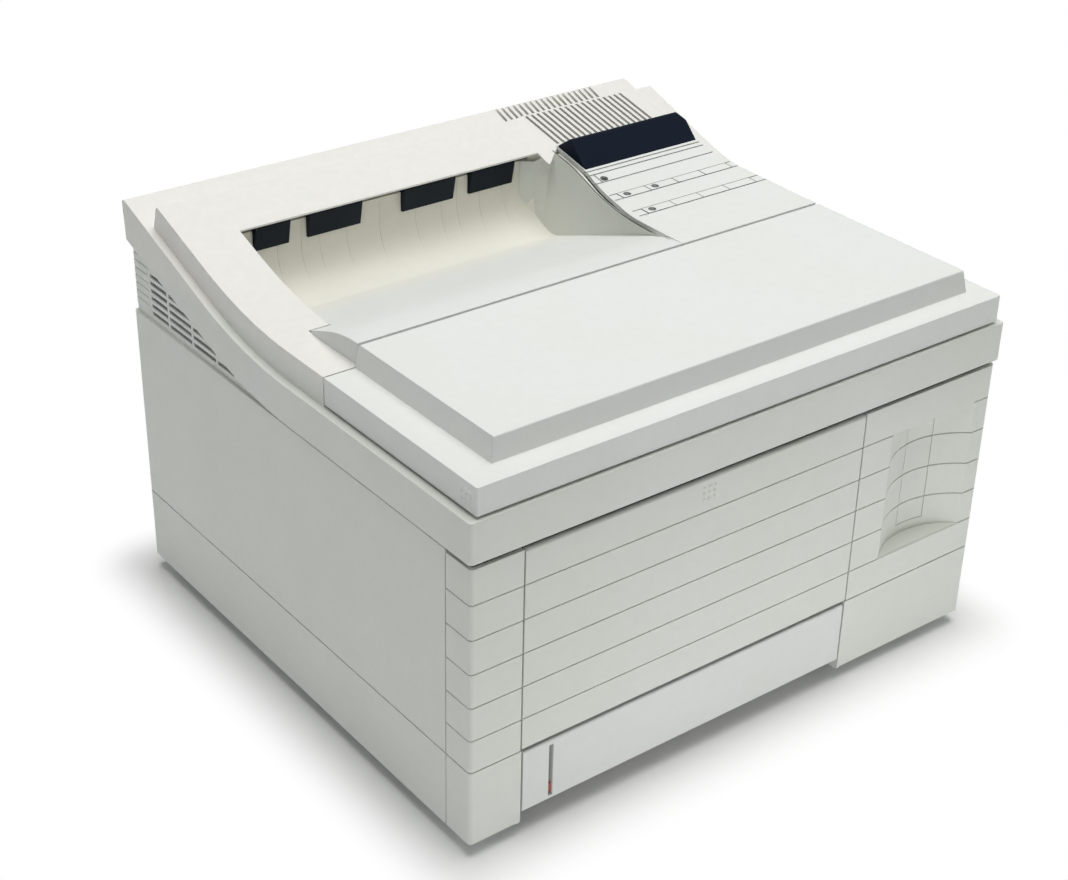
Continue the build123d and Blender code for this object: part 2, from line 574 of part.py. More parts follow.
with BuildPart() as top_housing:
    add(rim_outer.part)
    add(crown_outer.part)
    add(deck_outer.part)
    add(deck_ramp.part)
    # Hollow underside, leaving a skin and the ledge that the door rests on
    add(rim_void.part, mode=Mode.SUBTRACT)
    add(crown_void.part, mode=Mode.SUBTRACT)
    add(deck_void.part, mode=Mode.SUBTRACT)
    # Seat for the control panel
    add(bezel_space.part, mode=Mode.SUBTRACT)
    # Pockets that leave the keys room to travel
    for row_y, columns in KEY_ROWS:
        for column in columns:
            pocket_top = deck_height(row_y) - BEZEL
            block((column - KEY_SIZE[0] / 2 - KEY_CLEARANCE, column + KEY_SIZE[0] / 2 + KEY_CLEARANCE),
                  (row_y - KEY_SIZE[1] / 2 - KEY_CLEARANCE, row_y + KEY_SIZE[1] / 2 + KEY_CLEARANCE),
                  (pocket_top - KEY_TRAVEL - KEY_UNDER_ROOM, pocket_top + 3), Mode.SUBTRACT)
    # Opening for the toner door, inside the ledge
    block((-CROWN_HALF + LEDGE_WIDTH - STEP_INSET, CROWN_HALF - LEDGE_WIDTH + STEP_INSET),
          (BODY_FRONT + LEDGE_WIDTH - STEP_INSET, HOUSING_FRONT), (RIM_LOW - 5, PLATFORM_TOP), Mode.SUBTRACT)
    # Opening over the output bin
    plan_prism([(BIN_LEFT, FIN_REAR), (BIN_LEFT, BIN_LIP_Y), (TOOTH_TIP[0], BIN_LIP_Y), TOOTH_TIP,
                (BEZEL_EDGE[3][0] + 1, BEZEL_REAR), (BEZEL_EDGE[3][0] + WEB_OVERHANG, BEZEL_REAR - 2),
                (BEZEL_EDGE[2][0] + WEB_OVERHANG, BEZEL_EDGE[2][1]),
                (BEZEL_EDGE[1][0] + WEB_OVERHANG, BEZEL_EDGE[1][1]),
                (BEZEL_EDGE[0][0] + WEB_OVERHANG, HOUSING_FRONT - 1), (PLATFORM_LEFT, HOUSING_FRONT - 1),
                (PLATFORM_LEFT, FIN_REAR)], (RIM_LOW - 5, CREST + 10), Mode.SUBTRACT)
    # The lip over the bin thins towards its edge
    lip_z = ARM_TOP + ARM_RISE * (BIN_LIP_Y - ARM_BEND)
    side_prism([(BIN_LIP_Y - 1, lip_z - LIP_EDGE), (BIN_LIP_Y, lip_z - LIP_EDGE),
                (BIN_LIP_Y + LIP_TAPER, lip_z + ARM_RISE * LIP_TAPER - SKIN),
                (BIN_LIP_Y + LIP_TAPER, lip_z - 2 * SKIN), (BIN_LIP_Y - 1, lip_z - 2 * SKIN)],
               (BIN_LEFT, TOOTH_TIP[0]), Mode.SUBTRACT)
    # Vent slits over the crest, in two rows
    vent_pitch = (VENT_X[1] - VENT_X[0]) / (VENT_COUNT - 1)
    for slit in range(VENT_COUNT):
        middle = VENT_X[0] + slit * vent_pitch
        block((middle - VENT_SLIT / 2, middle + VENT_SLIT / 2), (VENT_FRONT_Y, CREST_Y - VENT_CREST_LAND),
              (CREST - 20, CREST + 5), Mode.SUBTRACT)
        block((middle - VENT_SLIT / 2, middle + VENT_SLIT / 2), VENT_REAR_Y, (CREST - 30, CREST),
              Mode.SUBTRACT)
save(top_housing, "top_housing")

# Output bin
LUG_THICK = 5.0
LUG_BACK = 1.7
LUG_FOOT_Z = 233.0
LUG_PIN_REACH = 8.0
BIN_BLOCK_RIGHT = 88.0
BIN_CUT_Z = (BIN_DEPTH_Z - 30, CREST + 8)
with BuildPart() as bin_body:
    block((PLATFORM_LEFT, BIN_BLOCK_RIGHT), (HOUSING_FRONT, BIN_REAR + BIN_WALL),
          (BIN_DEPTH_Z - BIN_WALL, PLATFORM_TOP))
    bin_floor_prism(0.0, (PLATFORM_LEFT - 1, BIN_BLOCK_RIGHT + 1), Mode.INTERSECT)
with BuildPart() as bin_space:
    loft([bin_wall_face(z, 0.0) for z in BIN_CUT_Z], ruled=True)
    bin_floor_prism(0.0, (-HALF_WIDTH, HALF_WIDTH), Mode.SUBTRACT)
with BuildPart() as under_floor:
    block((PLATFORM_LEFT + BIN_WALL, BIN_BLOCK_RIGHT + 2), (HOUSING_FRONT + BIN_WALL, BIN_REAR + BIN_WALL + 1),
          BIN_CUT_Z)
    bin_floor_prism(-BIN_WALL, (PLATFORM_LEFT, BIN_BLOCK_RIGHT + 3), Mode.INTERSECT)
with BuildPart() as beyond_wall:
    block((0, BIN_BLOCK_RIGHT + 2), (HOUSING_FRONT - 1, BIN_REAR + BIN_WALL + 1), BIN_CUT_Z)
    loft([bin_wall_face(z, BIN_WALL) for z in BIN_CUT_Z], ruled=True, mode=Mode.SUBTRACT)
with BuildPart() as above_left:
    block((BIN_LEFT - 20, BIN_LEFT), (FIN_REAR - 3, BIN_REAR + 5), (BIN_DEPTH_Z - 5, CREST + 10))
    swept_prism(arm_points(-SKIN - 0.1), ARM_SWEEPS, BIN_DEPTH_Z - 20, (-HALF_WIDTH, 0), Mode.SUBTRACT)
with BuildPart() as above_right:
    block((DECK_LEFT - 5, BIN_BLOCK_RIGHT + 5), (HOUSING_FRONT - 1, BIN_REAR + 5),
          (BIN_DEPTH_Z - 5, CREST + 15))
    swept_prism(deck_points(-BEZEL - 0.5, HOUSING_FRONT - 2), DECK_SWEEPS, BIN_DEPTH_Z - 20,
                (DECK_LEFT - 10, BIN_BLOCK_RIGHT + 10), Mode.SUBTRACT)
    block((DECK_LEFT - 6, BEZEL_EDGE[0][0] - 0.3), (HOUSING_FRONT - 2, BEZEL_EDGE[1][1]),
          (BIN_DEPTH_Z, PLATFORM_TOP + 2), Mode.SUBTRACT)
with BuildPart() as above_corner:
    block((DECK_LEFT - 8, BIN_BLOCK_RIGHT + 5), (BEZEL_REAR - 3, BIN_REAR + 5), (BIN_DEPTH_Z - 5, CREST + 15))
    swept_prism(arm_points(-SKIN - 0.1), ARM_SWEEPS, BIN_DEPTH_Z - 20, (0, HALF_WIDTH), Mode.SUBTRACT)

with BuildPart() as output_bin:
    add(bin_body.part)
    block((BIN_LEFT - BIN_WALL, BIN_BLOCK_RIGHT), (FIN_REAR - 3, BIN_REAR + BIN_WALL),
          (BIN_DEPTH_Z - BIN_WALL, CREST))
    # Space above the floor and between the walls
    add(bin_space.part, mode=Mode.SUBTRACT)
    # Hollow under the floor and outside the leaning right wall
    add(under_floor.part, mode=Mode.SUBTRACT)
    add(beyond_wall.part, mode=Mode.SUBTRACT)
    block((PLATFORM_LEFT - 1, BIN_LEFT - BIN_WALL), (FIN_REAR - 3, BIN_REAR + 5), (BIN_DEPTH_Z - 30, CREST),
          Mode.SUBTRACT)
    block((PLATFORM_LEFT - 1, BIN_LEFT - BIN_WALL), (HOUSING_FRONT - 1, FIN_REAR),
          (BIN_DEPTH_Z - 30, ARM_TOP - SKIN), Mode.SUBTRACT)
    # Trim the wall tops under the arms, the lip and the control panel
    add(above_left.part, mode=Mode.SUBTRACT)
    add(above_right.part, mode=Mode.SUBTRACT)
    add(above_corner.part, mode=Mode.SUBTRACT)
    block((PLATFORM_LEFT, BIN_BLOCK_RIGHT), (BIN_REAR - 1, BIN_REAR + 5), (BIN_WALL_TOP, CREST + 5),
          Mode.SUBTRACT)
    for window in EXIT_WINDOWS:
        block(window, (BIN_REAR - 3, BIN_REAR + 5), (EXIT_WINDOW_LOW, BIN_WALL_TOP + 2), Mode.SUBTRACT)
    # Hinge brackets and pins for the toner door, reaching forward from the front wall
    for lug in DOOR_LUG_X:
        side_prism([(HOUSING_FRONT + 1, LUG_FOOT_Z), (HOUSING_FRONT + 1, LUG_FOOT_Z + 5),
                    (DOOR_HINGE_Y + LUG_BACK, LUG_FOOT_Z + 5), (DOOR_HINGE_Y + LUG_BACK, DOOR_HINGE_Z),
                    (DOOR_HINGE_Y - LUG_BACK, DOOR_HINGE_Z), (DOOR_HINGE_Y - 3.5, LUG_FOOT_Z)],
                   (lug - LUG_THICK / 2, lug + LUG_THICK / 2))
        rod((DOOR_HINGE_Y, DOOR_HINGE_Z), (lug - LUG_THICK / 2, lug + LUG_THICK / 2), LUG_BACK)
        rod((DOOR_HINGE_Y, DOOR_HINGE_Z), (lug - LUG_PIN_REACH, lug + LUG_PIN_REACH), DOOR_PIN_RADIUS)
save(output_bin, "output_bin")

# Control panel
with BuildPart() as control_panel_bezel:
    swept_prism(deck_points(), DECK_SWEEPS, PLATFORM_TOP - 20, (BEZEL_EDGE[0][0], PLATFORM_RIGHT))
    swept_prism(deck_points(-BEZEL + 0.05), DECK_SWEEPS, PLATFORM_TOP - 25,
                (DECK_LEFT - 1, PLATFORM_RIGHT + 2), Mode.SUBTRACT)
    with BuildSketch(Plane.XY.offset(PLATFORM_TOP - 20)) as bezel_outline:
        with BuildLine():
            FilletPolyline(*BEZEL_EDGE, radius=BEZEL_EDGE_SWEEPS)
            Polyline(BEZEL_EDGE[-1], (PLATFORM_RIGHT, BEZEL_REAR), (PLATFORM_RIGHT, HOUSING_FRONT),
                     BEZEL_EDGE[0])
        make_face()
    extrude(bezel_outline.sketch, amount=CREST + 25 - PLATFORM_TOP, mode=Mode.INTERSECT)
    for row_y, columns in KEY_ROWS:
        for column in columns:
            block((column - KEY_SIZE[0] / 2 - KEY_CLEARANCE, column + KEY_SIZE[0] / 2 + KEY_CLEARANCE),
                  (row_y - KEY_SIZE[1] / 2 - KEY_CLEARANCE, row_y + KEY_SIZE[1] / 2 + KEY_CLEARANCE),
                  (PLATFORM_TOP - 10, CREST), Mode.SUBTRACT)
    with Locations((STATUS_LED[0], STATUS_LED[1], PLATFORM_TOP)):
        Cylinder(LED_HOLE, 40, mode=Mode.SUBTRACT)
save(control_panel_bezel, "control_panel_bezel")


def key_block(name, column, row_y, led):
    """One key of the control panel, with a window for its lamp if it has one."""
    with BuildPart() as key:
        swept_prism(deck_points(KEY_PROUD), DECK_SWEEPS, PLATFORM_TOP - 20,
                    (column - KEY_SIZE[0] / 2, column + KEY_SIZE[0] / 2))
        swept_prism(deck_points(-BEZEL + 0.3), DECK_SWEEPS, PLATFORM_TOP - 25,
                    (column - KEY_SIZE[0], column + KEY_SIZE[0]), Mode.SUBTRACT)
        block((column - KEY_SIZE[0], column + KEY_SIZE[0]),
              (row_y - KEY_SIZE[1] / 2, row_y + KEY_SIZE[1] / 2),
              (PLATFORM_TOP - 20, CREST + 5), Mode.INTERSECT)
        if led:
            with Locations((column - KEY_SIZE[0] / 2 + LED_FROM_KEY, row_y, PLATFORM_TOP)):
                Cylinder(LED_HOLE, 40, mode=Mode.SUBTRACT)
    save(key, name)


LED_KEYS = ("upper_key_1", "upper_key_2", "lower_key_1")
lamps = [(STATUS_LED[0], STATUS_LED[1], 0.0)]
for row_name, (row_y, columns) in zip(("upper_key", "lower_key"), KEY_ROWS):
    for number, column in enumerate(columns, 1):
        key_name = f"{row_name}_{number}"
        has_lamp = key_name in LED_KEYS
        key_block(key_name, column, row_y, has_lamp)
        if has_lamp:
            lamps.append((column - KEY_SIZE[0] / 2 + LED_FROM_KEY, row_y, KEY_TRAVEL + KEY_UNDER_ROOM))

with BuildPart() as status_lamps:
    for lamp_x, lamp_y, sunk in lamps:
        top = deck_height(lamp_y) + 0.2
        foot = deck_height(lamp_y + LED_RADIUS) - BEZEL - sunk + 0.15
        with BuildSketch(Plane.XY.offset(foot)) as lens:
            with Locations((lamp_x, lamp_y)):
                Circle(LED_RADIUS)
        extrude(lens.sketch, amount=top - foot)
save(status_lamps, "status_lamps")

# Display: a dark wedge that stands up from the deck behind the keys
with BuildPart() as display_window:
    side_prism([(DISPLAY_FRONT, deck_height(DISPLAY_FRONT) - 1), (DISPLAY_FRONT, deck_height(DISPLAY_FRONT)),
                (DISPLAY_FRONT + DISPLAY_RUN, deck_height(DISPLAY_FRONT) + DISPLAY_HEIGHT),
                (DISPLAY_FRONT + DISPLAY_RUN + 1.5, deck_height(DISPLAY_FRONT) + DISPLAY_HEIGHT),
                (BEZEL_REAR - 1, deck_height(BEZEL_REAR - 1) + 1.2), (BEZEL_REAR - 1, CREST - 30),
                (DISPLAY_FRONT, CREST - 30)], (DISPLAY_LEFT, DISPLAY_RIGHT))
    swept_prism(deck_points(0.02), DECK_SWEEPS, PLATFORM_TOP - 40, (DISPLAY_LEFT - 5, DISPLAY_RIGHT + 5),
                Mode.SUBTRACT)
save(display_window, "display_window")

# Toner door
with BuildPart() as toner_door:
    block((-CROWN_HALF, CROWN_HALF), (BODY_FRONT + 0.4, DOOR_REAR), (DOOR_FLOOR, ARM_TOP))
    fillet(toner_door.edges().filter_by(Axis.Z).group_by(Axis.Y)[0], DOOR_CORNER)
    with BuildSketch(Plane.XY.offset(ARM_TOP)) as step_foot:
        with Locations(((PLATFORM_LEFT + PLATFORM_RIGHT) / 2,
                        (PLATFORM_FRONT - PLATFORM_SLOPE + DOOR_REAR) / 2)):
            Rectangle(PLATFORM_RIGHT - PLATFORM_LEFT + 2 * PLATFORM_SLOPE,
                      DOOR_REAR - PLATFORM_FRONT + PLATFORM_SLOPE)
    with BuildSketch(Plane.XY.offset(PLATFORM_TOP)) as step_top:
        with Locations(((PLATFORM_LEFT + PLATFORM_RIGHT) / 2, (PLATFORM_FRONT + DOOR_REAR) / 2)):
            Rectangle(PLATFORM_RIGHT - PLATFORM_LEFT, DOOR_REAR - PLATFORM_FRONT)
    loft([step_foot.sketch.face(), step_top.sketch.face()])
    fillet(toner_door.edges().filter_by(Axis.X).group_by(Axis.Y)[-1].sort_by(Axis.Z)[-1:], 2.0)
    fillet(toner_door.edges().filter_by(Axis.X).group_by(Axis.Z)[-1].sort_by(Axis.Y)[:1], 1.0)
    block((-CROWN_HALF + SKIN, CROWN_HALF - SKIN), (BODY_FRONT + 0.4 + SKIN, DOOR_REAR - SKIN),
          (DOOR_FLOOR - 1, ARM_TOP - SKIN), Mode.SUBTRACT)
    block((PLATFORM_LEFT + SKIN, PLATFORM_RIGHT - SKIN), (PLATFORM_FRONT + SKIN, DOOR_REAR - SKIN),
          (DOOR_FLOOR - 1, PLATFORM_TOP - SKIN), Mode.SUBTRACT)
    for lug in DOOR_LUG_X:
        block((lug - LUG_THICK / 2 - 0.6, lug + LUG_THICK / 2 + 0.6), (DOOR_REAR - SKIN - 1, DOOR_REAR + 1),
              (DOOR_FLOOR - 1, PLATFORM_TOP - SKIN), Mode.SUBTRACT)
        for side in (-1, 1):
            near = lug + side * (LUG_THICK / 2 + 0.6)
            block(sorted((near, near + side * 3)), (DOOR_HINGE_Y - 4, DOOR_REAR - SKIN),
                  (DOOR_HINGE_Z - 4, PLATFORM_TOP - SKIN))
        rod((DOOR_HINGE_Y, DOOR_HINGE_Z), (lug - LUG_PIN_REACH - 1, lug + LUG_PIN_REACH + 1),
            DOOR_PIN_RADIUS + PIN_CLEARANCE, Mode.SUBTRACT)
save(toner_door, "toner_door")

LINER_EDGE = 12.0
RIB_COUNT = 9
with BuildPart() as toner_door_liner:
    block((-CROWN_HALF + LINER_EDGE, CROWN_HALF - LINER_EDGE), (BODY_FRONT + LINER_EDGE, DOOR_HINGE_Y - 8),
          (ARM_TOP - SKIN - 2.2, ARM_TOP - SKIN))
    for rib in range(RIB_COUNT):
        rib_x = -CROWN_HALF + LINER_EDGE + 8 + rib * (2 * (CROWN_HALF - LINER_EDGE - 8)) / (RIB_COUNT - 1)
        block((rib_x - 1, rib_x + 1), (BODY_FRONT + LINER_EDGE, DOOR_HINGE_Y - 8),
              (DOOR_FLOOR + 4, ARM_TOP - SKIN - 1))
    for rib_y in (BODY_FRONT + LINER_EDGE, BODY_FRONT + 75, DOOR_HINGE_Y - 10):
        block((-CROWN_HALF + LINER_EDGE, CROWN_HALF - LINER_EDGE), (rib_y, rib_y + 2),
              (DOOR_FLOOR + 4, ARM_TOP - SKIN - 1))
save(toner_door_liner, "toner_door_liner")

# Multi-purpose tray door on the front
with BuildPart() as mp_door:
    block((FRONT_LEFT_X + 0.3, FRONT_RIGHT_X - 0.3), (BODY_FRONT, BODY_FRONT + MP_DOOR_WALL),
          (PANEL_BASE + 0.6, MP_DOOR_TOP))
    fillet(mp_door.edges().filter_by(Axis.X).group_by(Axis.Y)[0].sort_by(Axis.Z)[-1:], 2.0)
    front_grooves((FRONT_LEFT_X - 1, FRONT_RIGHT_X + 1))
    for ear_x in (FRONT_LEFT_X + 0.3, FRONT_RIGHT_X - 3.3):
        block((ear_x, ear_x + 3), (BODY_FRONT + 1, MP_HINGE_Y + 4), (MP_HINGE_Z - 4, MP_DOOR_TOP - 4))
    rod((MP_HINGE_Y, MP_HINGE_Z), (FRONT_LEFT_X - 3.2, FRONT_LEFT_X + 2), MP_PIN_RADIUS)
    rod((MP_HINGE_Y, MP_HINGE_Z), (FRONT_RIGHT_X - 2, FRONT_RIGHT_X + 3.2), MP_PIN_RADIUS)
save(mp_door, "mp_door")

PAPER_MIDDLE = (FRONT_LEFT_X + FRONT_RIGHT_X) / 2
PAPER_WIDTH = 216.0
TRAY_FACE = BODY_FRONT + MP_DOOR_WALL
GUIDE_THICK = 2.4
with BuildPart() as mp_tray:
    block((PAPER_MIDDLE - PAPER_WIDTH / 2 - 6, PAPER_MIDDLE + PAPER_WIDTH / 2 + 6),
          (TRAY_FACE, TRAY_FACE + 2.4),
          (MP_HINGE_Z + 14, MP_DOOR_TOP - 8))
    for slot_z in (MP_HINGE_Z + 36, MP_HINGE_Z + 84):
        block((PAPER_MIDDLE - PAPER_WIDTH / 2 + 4, PAPER_MIDDLE - 18), (TRAY_FACE + 1.2, TRAY_FACE + 3),
              (slot_z, slot_z + 6), Mode.SUBTRACT)
        block((PAPER_MIDDLE + 18, PAPER_MIDDLE + PAPER_WIDTH / 2 - 4), (TRAY_FACE + 1.2, TRAY_FACE + 3),
              (slot_z, slot_z + 6), Mode.SUBTRACT)
save(mp_tray, "mp_tray")

for guide_name, side in (("mp_guide_left", -1), ("mp_guide_right", 1)):
    fence = PAPER_MIDDLE + side * PAPER_WIDTH / 2
    with BuildPart() as guide:
        block(sorted((fence, fence + side * GUIDE_THICK)), (TRAY_FACE + 2.7, TRAY_FACE + 14),
              (MP_HINGE_Z + 26, MP_DOOR_TOP - 30))
        block(sorted((fence, fence - side * 20)), (TRAY_FACE + 2.7, TRAY_FACE + 4.2),
              (MP_HINGE_Z + 26, MP_DOOR_TOP - 30))
        fillet(guide.edges().filter_by(Axis.X).group_by(Axis.Y)[-1], 5.0)
    save(guide, guide_name)

# Rear panel and face-up output door
REAR_DOOR_X = (-150.0, 64.0)
REAR_DOOR_Z = (118.0, 236.0)
REAR_HINGE = (BODY_BACK - 2.8, REAR_DOOR_Z[0] + 4.0)
REAR_PIN = 2.0
REAR_TOP = 251.8
INLET_X = (140.0, 170.0)
INLET_Z = (80.0, 106.0)
PORT_X = (104.8, 119.0)
PORT_Z = (98.0, 188.0)
SCREW_SPOTS = [(-180.0, 75.0), (-180.0, 238.0), (80.0, 75.0), (180.0, 75.0), (180.0, 238.0), (80.0, 238.0)]
SCREW_HEAD = RIM_OVERHANG - 0.1
with BuildPart() as rear_panel:
    block((-HALF_WIDTH + REAR_RETURN + SEAM, HALF_WIDTH - REAR_RETURN - SEAM), (BODY_BACK - WALL, BODY_BACK),
          (PANEL_BASE, REAR_TOP))
    block((REAR_DOOR_X[0], REAR_DOOR_X[1]), (BODY_BACK - 5, BODY_BACK + 1),
          (REAR_DOOR_Z[0] - 0.8, REAR_DOOR_Z[1]),
          Mode.SUBTRACT)
    block(INLET_X, (BODY_BACK - 5, BODY_BACK + 1), INLET_Z, Mode.SUBTRACT)
    block(PORT_X, (BODY_BACK - 5, BODY_BACK + 1), PORT_Z, Mode.SUBTRACT)
    for boss_x in ((REAR_DOOR_X[0] - 6, REAR_DOOR_X[0]), (REAR_DOOR_X[1], REAR_DOOR_X[1] + 6)):
        block(boss_x, (REAR_HINGE[0] - 4.5, BODY_BACK - 0.5), (REAR_HINGE[1] - 4.5, REAR_HINGE[1] + 5))
    rod(REAR_HINGE, (REAR_DOOR_X[0] - 4.5, REAR_DOOR_X[1] + 4.5), REAR_PIN + PIN_CLEARANCE, Mode.SUBTRACT)
    for slot in range(12):
        slot_x = -60 + slot * 9
        block((slot_x, slot_x + 3), (BODY_BACK - 5, BODY_BACK + 1), (72.0, 96.0), Mode.SUBTRACT)
save(rear_panel, "rear_panel")

with BuildPart() as rear_door:
    block((REAR_DOOR_X[0] + 0.6, REAR_DOOR_X[1] - 0.6), (BODY_BACK - WALL, BODY_BACK),
          (REAR_DOOR_Z[0] + 0.6, REAR_DOOR_Z[1] - 0.6))
    fillet(rear_door.edges().filter_by(Axis.X).group_by(Axis.Y)[-1].sort_by(Axis.Z)[:1], 1.6)
    for ear_x in (REAR_DOOR_X[0] + 0.6, REAR_DOOR_X[1] - 3.6):
        block((ear_x, ear_x + 3), (BODY_BACK - 9, BODY_BACK - 0.5), (REAR_HINGE[1] - 2.5, REAR_HINGE[1] + 20))
    rod(REAR_HINGE, (REAR_DOOR_X[0] - 4, REAR_DOOR_X[0] + 2), REAR_PIN)
    rod(REAR_HINGE, (REAR_DOOR_X[1] - 2, REAR_DOOR_X[1] + 4), REAR_PIN)
    for rib in range(5):
        rib_x = REAR_DOOR_X[0] + 25 + rib * 40
        block((rib_x, rib_x + 2), (BODY_BACK - 8, BODY_BACK - 1), (REAR_HINGE[1] + 14, REAR_DOOR_Z[1] - 14))
    block((-63.0, -23.0), (BODY_BACK - 1.2, BODY_BACK + 1), (REAR_DOOR_Z[1] - 16, REAR_DOOR_Z[1] - 6),
          Mode.SUBTRACT)
save(rear_door, "rear_door")

with BuildPart() as case_screws:
    for screw_x, screw_z in SCREW_SPOTS:
        with BuildSketch(Plane.XZ.offset(-BODY_BACK - SCREW_HEAD)) as head:
            with Locations((screw_x, screw_z)):
                Circle(3.4)
        extrude(head.sketch, amount=SCREW_HEAD)
        with BuildSketch(Plane.XZ.offset(-BODY_BACK - SCREW_HEAD - 0.1)) as recess:
            with Locations((screw_x, screw_z)):
                Rectangle(3.6, 0.8)
                Rectangle(0.8, 3.6)
        extrude(recess.sketch, amount=0.9, mode=Mode.SUBTRACT)
save(case_screws, "case_screws")

# Paper cassette
TRAY_WALL = 2.2
FASCIA_BACK = BODY_FRONT + 5
LIFT_X = (PAPER_MIDDLE - 104.0, PAPER_MIDDLE + 104.0)
LIFT_Y = (BODY_FRONT + 14.0, -22.0)
LIFT_Z = (26.6, 28.2)
LIFT_AXIS = (LIFT_Y[1] + 2, 25.0)
LIFT_PIN = 2.0
SPRING_RADIUS = 7.0
SPRING_WIRE = 0.9
SPRING_SPOTS = ((PAPER_MIDDLE - 60, LIFT_Y[0] + 18), (PAPER_MIDDLE + 60, LIFT_Y[0] + 18))
GAUGE_SLOT = (19.0, 57.0)
with BuildPart() as cassette_front:
    block((FRONT_LEFT_X + CASSETTE_GAP, FRONT_RIGHT_X - CASSETTE_GAP), (BODY_FRONT, FASCIA_BACK),
          (CASSETTE_FLOOR + 2.5, CASSETTE_TOP))
    fillet(cassette_front.edges().filter_by(Axis.X).group_by(Axis.Y)[0], 1.5)
    block((GAUGE_X - 1.6, GAUGE_X + 1.6), (BODY_FRONT - 1, FASCIA_BACK + 1), GAUGE_SLOT, Mode.SUBTRACT)
save(cassette_front, "cassette_front")

with BuildPart() as cassette_tray:
    block(TRAY_X, (FASCIA_BACK, CASSETTE_REAR), (TRAY_LOW, 57.0))
    block((TRAY_X[0] + TRAY_WALL, TRAY_X[1] - TRAY_WALL),
          (FASCIA_BACK + TRAY_WALL + 2, CASSETTE_REAR - TRAY_WALL),
          (TRAY_LOW + TRAY_WALL, 60.0), Mode.SUBTRACT)
    block((GAUGE_X - 2.5, GAUGE_X + 2.5), (FASCIA_BACK - 1, FASCIA_BACK + 6), (17.5, 60.0), Mode.SUBTRACT)
    for post_x in (LIFT_X[0] - 4.4, LIFT_X[1] + 0.4):
        block((post_x, post_x + 4), (LIFT_AXIS[0] - 4, LIFT_AXIS[0] + 4), (TRAY_LOW + 1, LIFT_AXIS[1] + 4))
        rod(LIFT_AXIS, (post_x - 1, post_x + 5), LIFT_PIN + PIN_CLEARANCE, Mode.SUBTRACT)
save(cassette_tray, "cassette_tray")

with BuildPart() as lift_plate:
    block(LIFT_X, LIFT_Y, LIFT_Z)
    block((PAPER_MIDDLE - 22, PAPER_MIDDLE + 22), (LIFT_Y[1] - 60, LIFT_Y[1] - 10),
          (LIFT_Z[0] - 1, LIFT_Z[1] + 1),
          Mode.SUBTRACT)
    for ear_x in (LIFT_X[0], LIFT_X[1] - 2):
        block((ear_x, ear_x + 2), (LIFT_Y[1] - 8, LIFT_AXIS[0] + 3), (LIFT_AXIS[1] - 3, LIFT_Z[1]))
    rod(LIFT_AXIS, (LIFT_X[0] - 4, LIFT_X[0] + 1), LIFT_PIN)
    rod(LIFT_AXIS, (LIFT_X[1] - 1, LIFT_X[1] + 4), LIFT_PIN)
save(lift_plate, "lift_plate")

with BuildPart() as lift_springs:
    for spring_x, spring_y in SPRING_SPOTS:
        foot_z = TRAY_LOW + TRAY_WALL
        with BuildSketch(Plane.XY.offset(foot_z + 0.1)) as coil:
            with Locations((spring_x, spring_y)):
                Circle(SPRING_RADIUS)
                Circle(SPRING_RADIUS - 2 * SPRING_WIRE, mode=Mode.SUBTRACT)
        extrude(coil.sketch, amount=LIFT_Z[0] - foot_z - 0.2)
save(lift_springs, "lift_springs")

with BuildPart() as paper_gauge:
    block((GAUGE_X - 1.3, GAUGE_X + 1.3), (BODY_FRONT + 1.4, FASCIA_BACK + 3), (21.0, 27.0))
    block((GAUGE_X - 2.1, GAUGE_X + 2.1), (FASCIA_BACK + 0.3, FASCIA_BACK + 3), (21.0, 30.0))
save(paper_gauge, "paper_gauge")


# Gears. Each one is placed so that its teeth mesh with the gear that drives it.
def pitch_radius(teeth):
    return teeth * GEAR_MODULE / 2


def crossing(centre_a, reach_a, centre_b, reach_b, side):
    """Where two circles cross, on the chosen side of the line between their centres."""
    dy, dz = centre_b[0] - centre_a[0], centre_b[1] - centre_a[1]
    span = hypot(dy, dz)
    along = (reach_a ** 2 - reach_b ** 2 + span ** 2) / (2 * span)
    up = side * sqrt(reach_a ** 2 - along ** 2)
    return (centre_a[0] + (along * dy - up * dz) / span, centre_a[1] + (along * dz + up * dy) / span)


def meshed_phase(driver, driver_teeth, driver_phase, driven, driven_teeth):
    """Angle of one tooth of the driven gear that puts its gaps on the driver's teeth."""
    line = atan2(driven[1] - driver[1], driven[0] - driver[0])
    driver_arc = (driver_phase - line) * pitch_radius(driver_teeth)
    return line + pi - (driver_arc + pi * GEAR_MODULE / 2) / pitch_radius(driven_teeth)


def tooth_outline(teeth, phase):
    """Points of a spur gear's outline, with involute flanks taken at three radii."""
    pitch, base = pitch_radius(teeth), pitch_radius(teeth) * cos(PRESSURE_ANGLE)
    root, tip = pitch - 1.2 * GEAR_MODULE, pitch + 0.95 * GEAR_MODULE
    half_tooth = pi / (2 * teeth) - TOOTH_THINNING / (2 * pitch)

    def roll(radius):
        turn = sqrt(max((radius / base) ** 2 - 1, 0))
        return turn - atan2(turn, 1)

    def half_angle(radius):
        return half_tooth + roll(pitch) - roll(radius)

    low = max(root, base)
    outline = []
    for tooth in range(teeth):
        middle = phase + tooth * 2 * pi / teeth
        flank = [(root, half_angle(low)), (pitch, half_angle(pitch)), (tip, half_angle(tip))]
        angles = [(r, middle - a) for r, a in flank] + [(r, middle + a) for r, a in reversed(flank)]
        outline += [(r * cos(a), r * sin(a)) for r, a in angles]
    return outline


